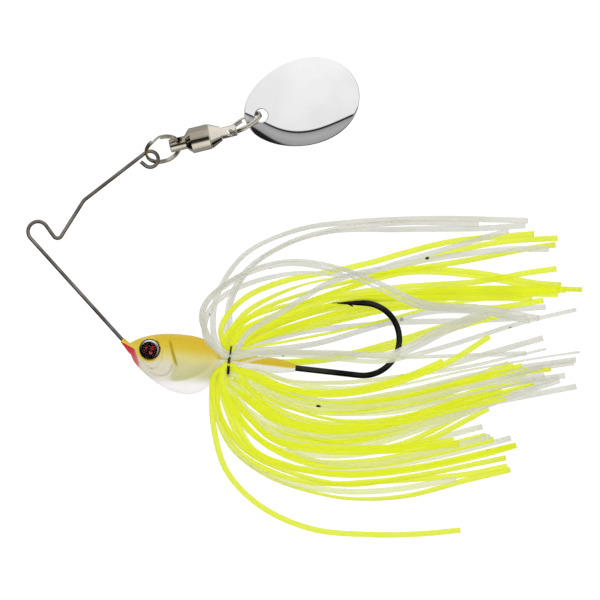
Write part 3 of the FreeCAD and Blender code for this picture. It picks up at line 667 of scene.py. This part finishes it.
def line_distance(x, z, points):
    """Distance to a bent line, and how far along it the nearest point lies, 0 to 1."""
    best, along, run = 1e9, 0.0, 0.0
    lengths = [math.dist(a, b) for a, b in zip(points, points[1:])]
    for (ax, az), (bx, bz), length in zip(points, points[1:], lengths):
        t = max(0.0, min(1.0, ((x - ax) * (bx - ax) + (z - az) * (bz - az)) / length**2))
        d = math.hypot(x - ax - t * (bx - ax), z - az - t * (bz - az))
        if d < best:
            best, along = d, (run + t * length) / sum(lengths)
        run += length
    return best, along


GILL_LINE = [(26.5, -21.7), (26.75, -22.8), (26.95, -24.0), (27.3, -25.2), (27.8, -26.9)]
PANEL_EDGE = [
    (27.8, -26.9), (27.1, -28.0), (26.45, -29.0), (26.4, -29.7), (27.2, -29.95),
    (29.4, -29.7), (30.8, -29.3), (32.0, -28.8), (33.9, -27.6), (35.6, -26.0),
]
CHEEK_ARC = [(25.0, -22.6), (25.35, -24.1), (25.1, -25.6), (24.3, -26.7), (23.2, -27.3), (22.0, -27.3)]
JAW_ARC = [(22.4, -28.3), (23.3, -28.75), (24.4, -28.95), (25.7, -28.6), (26.5, -27.9), (26.9, -26.9)]
LIP_ARC = [(20.6, -26.1), (21.6, -27.0), (22.6, -27.45), (23.7, -27.3)]


def head_relief(x, z):
    """How far the flank stands out (mm): gill slit, cheek, jaw lines, sunken panel and belly ledge."""
    relief = 0.0
    gill, along = line_distance(x, z, GILL_LINE)
    deep = math.sin(math.pi * min(1.0, 0.15 + along * 0.85)) ** 0.5
    relief -= 0.40 * ridge(gill, 0.24) * deep
    cheek, along = line_distance(x, z, CHEEK_ARC)
    relief += 0.16 * ridge(cheek, 0.34) * smooth_step(0.0, 0.15, along) * smooth_step(1.0, 0.8, along)
    beyond, along = line_distance(x + 0.30, z + 0.12, CHEEK_ARC)
    relief -= 0.20 * ridge(beyond, 0.24) * smooth_step(0.0, 0.15, along)
    jaw, along = line_distance(x, z, JAW_ARC)
    relief -= 0.34 * ridge(jaw, 0.26)
    lip, along = line_distance(x, z, LIP_ARC)
    relief -= 0.26 * ridge(lip, 0.24)
    panel, along = line_distance(x, z, PANEL_EDGE)
    inside = panel_side(x, z)
    relief -= 0.42 * smooth_step(0.30, -0.35, -panel if inside else panel) * smooth_step(4.6, 0.4, panel)
    relief += 0.16 * ridge(panel - 0.55, 0.55) * (0.0 if inside else 1.0) * smooth_step(0.30, 0.5, along)
    eye = math.hypot(x - EYE.x, z - EYE.z)
    relief += 0.16 * ridge(eye - EYE_R - 0.33, 0.24)
    return relief


def panel_side(x, z):
    """True inside the sunken flank panel."""
    corners = GILL_LINE + PANEL_EDGE[1:] + [(38.0, -25.0), (38.0, -18.0), (26.0, -18.0)]
    inside = False
    for (ax, az), (bx, bz) in zip(corners, corners[1:] + corners[:1]):
        if (az > z) != (bz > z) and x < ax + (bx - ax) * (z - az) / (bz - az):
            inside = not inside
    return inside


def fused(name, verts, faces, grain, smoothing):
    """One skin over overlapping closed shells, smoothed."""
    mesh = bpy.data.meshes.new(name)
    mesh.from_pydata(verts, [], faces)
    piece = bpy.data.objects.new(name, mesh)
    bpy.context.scene.collection.objects.link(piece)
    remesh = piece.modifiers.new("remesh", "REMESH")
    remesh.mode = "VOXEL"
    remesh.voxel_size = grain
    smooth = piece.modifiers.new("smooth", "SMOOTH")
    smooth.iterations = smoothing
    smooth.factor = 0.5
    bpy.context.view_layer.update()
    skin = bpy.data.meshes.new_from_object(piece.evaluated_get(bpy.context.evaluated_depsgraph_get()))
    piece.modifiers.clear()
    piece.data = skin
    return piece


def head(material):
    """Painted head casting: nose tube, collar and keeper barrel, with a fish's gill, cheek and jaw."""
    verts, faces = [], []
    closed_tube(head_body_rings(), verts, faces)
    arm = Vector((math.cos(LOWER_ARM), 0, math.sin(LOWER_ARM)))
    arm_up = Vector((-math.sin(LOWER_ARM), 0, math.cos(LOWER_ARM)))
    start = Vector((math.sin(LOWER_ARM), 0, -math.cos(LOWER_ARM))) * 2.0 - arm * 2.4
    closed_tube(turned_rings(NOSE_TUBE, start, arm, arm_up), verts, faces)
    closed_tube(turned_rings(KEEPER, TIE_POINT, COLLAR_AXIS, COLLAR_UP), verts, faces)
    piece = fused("head_shell", verts, faces, HEAD_GRAIN, 6)
    mesh = piece.data
    moved = []
    for vertex in mesh.vertices:
        at, normal = vertex.co, vertex.normal
        flank = smooth_step(0.25, 0.75, abs(normal.y))
        rear = smooth_step(36.0, 34.6, at.x)
        shift = normal * (head_relief(at.x, at.z) * flank * rear) if flank and rear else Vector()
        eye = math.hypot(at.x - EYE.x, at.z - EYE.z)
        new = at + shift
        if eye < EYE_R + 0.30 and abs(at.y) > 1.2:
            floor = math.copysign(2.42, at.y)
            sink = smooth_step(EYE_R + 0.28, EYE_R + 0.06, eye)
            new = Vector((new.x, new.y + (floor - new.y) * sink, new.z))
        moved.append(new)
    for vertex, new in zip(mesh.vertices, moved):
        vertex.co = new * MM
    for polygon in mesh.polygons:
        polygon.use_smooth = True
    mesh.materials.clear()
    mesh.materials.append(material)
    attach(piece, "lure_frame")
    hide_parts("head_casting")
    return piece


def back_and_flank(m, x, z):
    """Gold back, whose lower edge runs down toward the tail, over a khaki and pearl flank."""
    pearl = m.mix(m.step(z, -31.0, -28.6), rgb("e8e4e3"), rgb("ccc8ba"))
    back = m.math("MULTIPLY_ADD", x, -0.115, -20.6)
    height = m.math("SUBTRACT", z, back)
    warm = m.step(x, 27.0, 34.0)
    gold = m.mix(warm, rgb("c6a800"), rgb("c8a400"))
    gold = m.mix(m.step(height, 0.6, 2.6), m.mix(0.5, gold, rgb("c8b634")), gold)
    khaki = m.mix(m.step(x, 26.4, 27.6), rgb("cac5b0"), rgb("c0bc8a"))
    flank = m.mix(m.step(height, -6.6, -3.6), pearl, khaki)
    flank = m.mix(m.step(height, -3.0, -1.2), flank, rgb("cac278"))
    return m.mix(m.step(height, -1.7, 0.9), flank, gold)


def tail_paint(m, x, z, colour):
    """Gold on the tail end and on the top of the keeper barrel."""
    collar = m.math("MULTIPLY_ADD", m.math("SUBTRACT", x, 38.3), -math.tan(-COLLAR_ANGLE), -25.8)
    over = m.math("SUBTRACT", z, collar)
    barrel = m.mix(m.step(over, -0.25, 0.15), rgb("d3d4c6"), rgb("bfa60a"))
    return m.mix(m.step(x, 35.0, 37.0), colour, barrel)


def gill_paint(m, x, z, colour):
    """Yellow in the gill slit."""
    gill_x = m.math("MULTIPLY_ADD", m.math("ADD", m.axis(2), 24.0), -0.26, 26.98)
    gill = m.math("ABSOLUTE", m.math("SUBTRACT", x, gill_x))
    slit = m.math("MULTIPLY", m.step(gill, 0.48, 0.1), m.step(z, -27.2, -26.2))
    slit = m.math("MULTIPLY", slit, m.step(z, -21.5, -22.6))
    return m.mix(m.math("MULTIPLY", slit, 0.9), colour, rgb("b39a06"))


def eye_surround(m, x, z, colour):
    """Yellow round the eye."""
    dx, dz = m.math("SUBTRACT", x, EYE.x), m.math("SUBTRACT", z, EYE.z)
    eye = m.math("SQRT", m.math("ADD", m.math("MULTIPLY", dx, dx), m.math("MULTIPLY", dz, dz)))
    around = m.math("MULTIPLY", m.step(eye, 2.9, 2.25), m.step(x, 25.2, 22.8))
    return m.mix(around, colour, rgb("ccb414"))


def throat_paint(m, x, z, colour):
    """Red throat, strongest under the nose and fading along the jaw."""
    tube = m.math("SUBTRACT", m.math("MULTIPLY_ADD", m.math("SUBTRACT", x, 17.0), -0.5, -22.25), z)
    front = m.math("SUBTRACT", m.math("MULTIPLY_ADD", m.math("SUBTRACT", x, 19.2), -3.2, -22.9), z)
    red = m.math("MULTIPLY", m.step(tube, -0.12, 0.12), m.step(front, -0.9, 0.9))
    red = m.math("MULTIPLY", red, m.step(z, -29.2, -26.2))
    tint = m.mix(m.step(z, -26.6, -22.6), rgb("c0626a"), rgb("b80f16"))
    tint = m.mix(m.step(z, -26.2, -27.6), tint, rgb("dcb0a2"))
    return m.mix(red, colour, tint)


def painted_ledge_shade(m, x, colour):
    """Painted shade in the sunken flank just above the belly ledge."""
    run = m.math("SUBTRACT", x, 27.2)
    ledge = m.math("MULTIPLY_ADD", m.math("MULTIPLY", run, run), 0.052, -29.95)
    above = m.math("SUBTRACT", m.axis(2), ledge)
    shade = m.math("MULTIPLY", m.step(above, 2.6, 0.4), m.step(above, -0.15, 0.3))
    length = m.math("MULTIPLY", m.step(x, 26.0, 27.4), m.step(x, 36.0, 32.0))
    shade = m.math("MULTIPLY", shade, length)
    return m.mix(m.math("MULTIPLY", shade, 0.75), colour, rgb("b4b47a"))


def head_paint():
    """Airbrushed gold back, pearl flank and belly, red throat, yellow eye surround and gill slit, with
    painted shade above the belly ledge.
    """
    m = Nodes("head_paint")
    x, z = m.axis(0), m.axis(2)
    cloud = m.noise(220.0, 3.0)
    drift = m.math("MULTIPLY_ADD", cloud, 1.0, -0.5)
    z = m.math("ADD", z, m.math("MULTIPLY", drift, 0.5))
    colour = back_and_flank(m, x, z)
    for layer in (tail_paint, gill_paint, eye_surround, throat_paint):
        colour = layer(m, x, z, colour)
    colour = painted_ledge_shade(m, x, colour)
    fine = m.noise(4200.0, 3.0, 0.7)
    roughness = m.math("MULTIPLY_ADD", fine, 0.14, 0.30)
    m.set(color=colour, rough=roughness, coat=0.15, coat_rough=0.06, specular=0.28)
    m.set(sss=0.22, sss_scale=0.0012)
    m.bsdf.inputs["Subsurface Radius"].default_value = (1.0, 0.8, 0.5)
    m.bump(m.math("ADD", fine, m.math("MULTIPLY", cloud, 0.6)), 0.06, 0.00003)
    return m.material


# ---------------------------------------------------------------- eyes
def iris_paint():
    """Black foil disc with four red spots, a silver arc with a painted highlight at its upper rear, a painted
    grey glow in the middle, and a dark outline.
    """
    m = Nodes("eye_foil")
    x, z = m.axis(0), m.axis(2)
    dx, dz = m.math("SUBTRACT", x, EYE.x), m.math("SUBTRACT", z, EYE.z)
    colour = rgb("0b0708")
    grain = m.noise(3800.0, 2.0)

    def reach(cx, cz):
        px, pz = m.math("SUBTRACT", dx, cx), m.math("SUBTRACT", dz, cz)
        return m.math("SQRT", m.math("ADD", m.math("MULTIPLY", px, px), m.math("MULTIPLY", pz, pz)))

    ring = reach(0.0, 0.0)
    inner = reach(-0.11, -0.16)
    # a silver ring as printed round the foil, kept only on its upper rear where the light falls: print with
    # painted highlight
    upper = m.step(m.math("ADD", dz, m.math("MULTIPLY", dx, 0.7)), -1.3, 0.9)
    silver_arc_highlight = m.math("MULTIPLY", m.step(inner, 1.56, 1.66), upper)
    colour = m.mix(silver_arc_highlight, colour, rgb("9c949c"))
    # painted highlight: a near-white arc along the top of the ring
    top = m.step(m.math("ADD", dz, m.math("MULTIPLY", dx, 0.2)), 0.9, 1.6)
    painted_glint = m.math("MULTIPLY", m.step(inner, 1.60, 1.76), top)
    colour = m.mix(painted_glint, colour, rgb("dedbe2"))
    colour = m.mix(m.step(ring, 1.80, 1.88), colour, rgb("1a1210"))
    # painted reflection: a grey glow just below the middle, standing in for light in the dome
    colour = m.mix(m.math("MULTIPLY", m.step(reach(0.02, -0.25), 0.9, 0.1), 0.55), colour, rgb("1c1617"))
    wobble = m.math("MULTIPLY_ADD", m.noise(1500.0, 2.0), 0.3, -0.15)
    for cx, cz, r, code in (
        (-0.66, 0.36, 0.40, "8c101a"), (0.58, 0.22, 0.50, "a00e18"),
        (-0.98, -0.40, 0.40, "5e0c12"), (0.20, -0.72, 0.46, "9a3a34"),
    ):
        spot = reach(cx, cz)
        colour = m.mix(m.step(m.math("ADD", spot, wobble), r, r - 0.24), colour, rgb(code))
    m.set(color=colour, metal=0.0, rough=m.math("MULTIPLY_ADD", grain, 0.1, 0.45), specular=0.0)
    m.bump(grain, 0.01, 0.00001)
    return m.material


def lens_material():
    """Clear resin of the domed eye."""
    m = Nodes("clear_lens")
    fine = m.noise(1800.0, 2.0)
    m.set(color=(1, 1, 1, 1), rough=m.math("MULTIPLY_ADD", fine, 0.03, 0.01), transmission=1.0, ior=1.15)
    return m.material


def turned_piece(name, profile, side):
    """A shape turned about the eye's axis, from its rim to its middle."""
    origin = Vector((EYE.x, 0, EYE.z))
    rings = turned_rings(profile, origin, Vector((0, side, 0)), Vector((0, 0, 1)), 64)
    verts, faces = [], []
    closed_tube(rings, verts, faces)
    piece = mesh_object(name, verts, faces)
    face_out(piece)
    return piece


IRIS_PROFILE = [(2.45, 1.98), (2.47, 2.02), (2.56, 2.02), (2.58, 1.98)]
LENS_RISE = 0.62
LENS_RIM = 2.93


def eyes():
    """A foil disc under a clear dome on each side of the head."""
    lens = lens_material()
    dome = []
    ball_r = (EYE_R**2 + LENS_RISE**2) / (2 * LENS_RISE)
    for i in range(25):
        a = math.asin(EYE_R / ball_r) * (1 - i / 25)
        dome.append((LENS_RIM + ball_r * (math.cos(a) - 1) + LENS_RISE, ball_r * math.sin(a)))
    for side, where in ((-1, "near"), (1, "far")):
        disc = turned_piece("iris_disc_" + where, IRIS_PROFILE, side)
        disc.data.materials.append(iris_paint())
        clear = turned_piece("eye_lens_" + where, [(2.60, EYE_R - 0.04), (2.64, EYE_R)] + dome, side)
        clear.data.materials.append(lens)
        for piece, slot, node in ((disc, "eye_foil", "eye_disc_"), (clear, "clear_lens", "eye_dome_")):
            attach(piece, "lure_frame")
            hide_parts(node + where)


# ---------------------------------------------------------------- studio surroundings
def studio_world():
    """White surroundings. Reflections see a white tent above, a dark curved edge below and grey under it."""
    world = bpy.data.worlds.new("studio")
    bpy.context.scene.world = world
    world.use_nodes = True
    tree = world.node_tree
    background = tree.nodes["Background"]

    def add(kind, **values):
        node = tree.nodes.new(kind)
        for key, value in values.items():
            setattr(node, key, value)
        return node

    def math_node(operation, a, b, c=0.0):
        node = add("ShaderNodeMath", operation=operation)
        for socket, value in zip(node.inputs, (a, b, c)):
            if isinstance(value, bpy.types.NodeSocket):
                tree.links.new(value, socket)
            else:
                socket.default_value = value
        return node.outputs[0]

    parts = add("ShaderNodeSeparateXYZ")
    tree.links.new(add("ShaderNodeTexCoord").outputs["Generated"], parts.inputs[0])
    x, y, z = parts.outputs
    off = math_node("SUBTRACT", x, EDGE_CENTRE)
    edge = math_node("MULTIPLY_ADD", math_node("MULTIPLY", off, off), EDGE_CURVE, -EDGE_DEPTH)
    above = math_node("SUBTRACT", z, edge)
    tent = ramp_node(add, tree, above, TENT_STOPS, -0.5, 1.7)
    behind = ramp_node(add, tree, y, BEHIND_STOPS, -1.0, 1.0)
    lift = math_node("MAXIMUM", behind, math_node("MULTIPLY_ADD", z, 1.4, -0.35))
    grey = math_node("MULTIPLY", tent, math_node("MINIMUM", lift, 1.0))
    rays = add("ShaderNodeLightPath")
    share = rays.outputs["Is Glossy Ray"]
    shown = math_node("ADD", math_node("MULTIPLY", share, grey), math_node("SUBTRACT", 1.0, share))
    tree.links.new(shown, background.inputs[0])
    background.inputs[1].default_value = 1.06


SWIVEL_MIDDLE = Vector((32.6, -1.2, 18.5))
SWIVEL_AXIS = Vector((0.9704, -0.047, 0.2366)).normalized()
CARD_REACH = 6.5
CARD_ENDS = (-8.5, 2.2)
# Each card covers the angles between its first two numbers, up from the front, at its brightness.
CARDS = (
    (-160, -104, 0.30), (-104, -72, 0.42), (-72, -58, 0.85), (-58, -30, 1.0), (-30, -22, 0.35),
    (-22, 2, 0.03), (2, 14, 0.42), (14, 60, 0.55), (60, 110, 0.42), (110, 160, 0.28),
)


def reflector_cards():
    """Curved grey and white cards round the swivel that give its polished barrel its bands."""
    side = SWIVEL_AXIS.cross(Vector((0, -1, 0))).normalized()
    front = side.cross(SWIVEL_AXIS).normalized()
    if front.y > 0:
        front = -front
    up = side if side.z > 0 else -side
    for number, (low, high, glow) in enumerate(CARDS):
        verts, faces = [], []
        steps = 8
        for i in range(steps + 1):
            a = math.radians(low + (high - low) * i / steps)
            spoke = (front * math.cos(a) + up * math.sin(a)) * CARD_REACH
            verts += [SWIVEL_MIDDLE + spoke + SWIVEL_AXIS * t for t in CARD_ENDS]
        for i in range(steps):
            faces.append((2 * i, 2 * i + 1, 2 * i + 3, 2 * i + 2))
        card = mesh_object("reflector_card_%d" % number, verts, faces)
        paint = Nodes("card_%d" % number)
        paint.set(color=(0.0, 0.0, 0.0, 1.0), rough=1.0, specular=0.0)
        paint.bsdf.inputs["Emission Color"].default_value = (glow, glow * 0.985, glow * 0.95, 1.0)
        paint.bsdf.inputs["Emission Strength"].default_value = 1.0
        card.data.materials.append(paint.material)
        card.visible_camera = False
        card.visible_diffuse = False
        card.visible_shadow = False
        card.visible_transmission = False


def ramp_node(add, tree, value, stops, low, high):
    """A grey ramp over a range of values."""
    spread = add("ShaderNodeMapRange")
    tree.links.new(value, spread.inputs[0])
    spread.inputs[1].default_value = low
    spread.inputs[2].default_value = high
    ramp = add("ShaderNodeValToRGB")
    tree.links.new(spread.outputs[0], ramp.inputs[0])
    elements = ramp.color_ramp.elements
    while len(elements) < len(stops):
        elements.new(0.5)
    for element, (position, level) in zip(elements, stops):
        element.position = (position - low) / (high - low)
    for element, (position, level) in zip(elements, stops):
        element.color = (level, level, level, 1)
    return ramp.outputs[0]


# ---------------------------------------------------------------- split rings and tie
RING_R = 3.5
RING_STRIP = 0.5
RING_COIL = 0.44
RING_JOG = 26.0
# Each ring: its centre, two directions in its plane, and the angle of the jog between its coils.
LOWER_RING = (
    Vector((25.02, -1.13, 16.43)), Vector((0.931, 0, 0.365)), Vector((-0.2347, -0.766, 0.5986)), 100.0,
)
UPPER_RING = (
    Vector((41.4505, -1.9186, 21.6418)), Vector((0.857, 0, 0.515)), Vector((-0.1396, 0.9626, 0.2322)), 80.0,
)


def split_ring(name, ring, material, body, node):
    """Two close coils of half-round strip joined by a jog, with both cut ends beside it."""
    centre, u, v, jog_at = ring
    u = u.normalized()
    axis = u.cross(v.normalized()).normalized()
    v = axis.cross(u)
    level = (RING_COIL + 0.01) / 2
    first = jog_at - (360 - RING_JOG - 3.0) - RING_JOG / 2
    last = jog_at + RING_JOG / 2 + (360 - RING_JOG - 3.0)
    count, around = 330, 16
    rings = []
    for i in range(count + 1):
        degrees = first + (last - first) * i / count
        share = max(0.0, min(1.0, (degrees - jog_at) / RING_JOG + 0.5))
        height = level * (2 * smooth_step(0, 1, share) - 1)
        a = math.radians(degrees)
        radial = u * math.cos(a) + v * math.sin(a)
        end = min(i, count - i)
        shrink = 1.0 if end > 1 else (0.86, 0.97)[end]
        ring_points = []
        for j in range(around):
            b = 2 * math.pi * (j + 0.5) / around
            c, d = math.cos(b), math.sin(b)
            out = math.copysign(abs(c) ** 0.62, c) * RING_STRIP / 2 * shrink
            up = math.copysign(abs(d) ** 0.72, d) * RING_COIL / 2 * shrink
            ring_points.append(centre + radial * (RING_R + out) + axis * (height + up))
        rings.append(ring_points)
    verts, faces = [], []
    closed_tube(rings, verts, faces)
    piece = mesh_object(name, verts, faces)
    face_out(piece)
    piece.data.materials.append(material)
    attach(piece, body)
    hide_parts(node)


def tie_wire(material):
    """Thin wire drawn tight round the strands, with uneven wraps."""
    rng = random.Random(9)
    side = COLLAR_AXIS.cross(COLLAR_UP)
    waves = [(rng.uniform(0.02, 0.09), rng.uniform(0, 6.28), k) for k in (2, 3, 5)]
    route = []
    steps = 240
    for i in range(steps + 1):
        share = i / steps
        a = math.radians(80) + share * 2 * math.pi * 2.35
        wobble = sum(size * math.sin(k * a + phase) for size, phase, k in waves)
        along = -0.20 + 0.42 * share + 0.6 * wobble
        r = 3.10 + 0.35 * wobble
        spoke = COLLAR_UP * (r * math.cos(a)) + side * (r * math.sin(a))
        route.append(TIE_POINT + COLLAR_AXIS * along + spoke)
    rings, across = [], COLLAR_AXIS
    for i, point in enumerate(route):
        ahead = (route[min(i + 1, steps)] - route[max(i - 1, 0)]).normalized()
        across = (across - ahead * across.dot(ahead)).normalized()
        up = ahead.cross(across)
        r = 0.105 * (1.0 if 1 < i < steps - 1 else 0.8)
        angles = [2 * math.pi * j / 12 for j in range(12)]
        rings.append([point + across * (math.cos(b) * r) + up * (math.sin(b) * r) for b in angles])
    verts, faces = [], []
    closed_tube(rings, verts, faces)
    piece = mesh_object("tie_wraps", verts, faces)
    face_out(piece)
    piece.data.materials.append(material)
    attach(piece, "lure_frame")
    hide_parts("skirt_tie_wire")


# ---------------------------------------------------------------- stage
def stage():
    """Pale floor below the hanging lure, white surroundings, soft lights, and the camera."""
    bpy.ops.mesh.primitive_plane_add(size=6.0, location=(0.05, 0, -0.085))
    floor = bpy.context.object
    floor.name = "floor"
    white = Nodes("floor_white")
    white.set(color=(1.0, 1.0, 1.0, 1.0), rough=0.9)
    floor.data.materials.append(white.material)
    floor.visible_glossy = False

    studio_world()
    reflector_cards()

    def area(name, place, aim, size, power, colour=(1, 1, 1)):
        light = bpy.data.lights.new(name, "AREA")
        light.size = size
        light.energy = power
        light.color = colour
        lamp = bpy.data.objects.new(name, light)
        lamp.location = place
        lamp.rotation_euler = (Vector(aim) - Vector(place)).to_track_quat("-Z", "Y").to_euler()
        lamp.visible_glossy = False
        bpy.context.scene.collection.objects.link(lamp)

    middle = (0.052, 0, -0.014)
    area("key", (-0.15, -0.45, 0.45), middle, 0.35, 0.55)
    area("fill", (0.45, -0.35, 0.15), middle, 0.35, 0.15)
    area("back", (0.1, 0.4, 0.4), middle, 0.4, 0.4)

    camera = bpy.data.cameras.new("camera")
    camera.sensor_width = 36.0
    distance = 0.9
    camera.lens = 36.0 * distance / 0.120
    camera.clip_start = 0.01
    view = bpy.data.objects.new("camera", camera)
    view.location = (0.0524, -distance, -0.0137)
    view.rotation_euler = (math.pi / 2, 0, 0)
    bpy.context.scene.collection.objects.link(view)
    bpy.context.scene.camera = view
    bpy.context.scene.view_settings.view_transform = "Standard"


# ---------------------------------------------------------------- build
def dress(node, material):
    """Give a CAD node its material."""
    data = NODES[node].data
    data.materials.clear()
    data.materials.append(material)


DRESSED = (
    ("form_wire", "wire"), ("hook", "hook"), ("swivel_barrel", "swivel"), ("swivel_bearing_race", "swivel"),
    ("swivel_nose_cap", "swivel"), ("swivel_spindle", "swivel"), ("swivel_bearing_balls", "ball"),
)
PEARL_ROLL = (0.013, 0.007, 0.021)
CHARTREUSE_ROLL = (0.031, 0.017, 0.003)


def skirts():
    """The four groups of strands: two colours, above and below the hook."""
    paints = {
        # the third colour of each paint is the painted tint of light from yellow neighbours, on the lower
        # strands
        "pearl": silicone(
            "pearl_silicone", rgb("b6b6a8"), rgb("c4c4b8"), rgb("ccd27e"), 0.07, 0.54, PEARL_ROLL),
        "chartreuse": silicone(
            "chartreuse_silicone", rgb("c8d200"), rgb("d2dc08"), rgb("ced808"), 0.003, 0.75, CHARTREUSE_ROLL),
    }
    groups = (
        ("pearl", "upper", PEARL_PAIRS[:5], (3,), 3),
        ("pearl", "lower", PEARL_PAIRS[5:], (4,), 5),
        ("chartreuse", "upper", CHARTREUSE_PAIRS[:7], (3, 5), 7),
        ("chartreuse", "lower", CHARTREUSE_PAIRS[7:], (6, 7, 8, 9, 10, 11), 11),
    )
    for colour, half, pairs, doubled, seed in groups:
        name = "%s_strands_%s" % (colour, half)
        node = "skirt_%s_%s" % (half, colour)
        piece = skirt(name, pairs, doubled, seed, half == "upper", node)
        piece.data.materials.append(paints[colour])


def main():
    """Set the stage, then dress or replace every node."""
    stage()
    metal_of = metals()
    for node, key in DRESSED:
        dress(node, metal_of[key])
    blade(metal_of["blade"])
    split_ring("lower_ring_coils", LOWER_RING, metal_of["ring"], "lower_ring", "lower_split_ring")
    split_ring("upper_ring_coils", UPPER_RING, metal_of["ring"], "upper_ring", "upper_split_ring")
    tie_wire(metal_of["tie"])
    head(head_paint())
    eyes()
    skirts()


main()
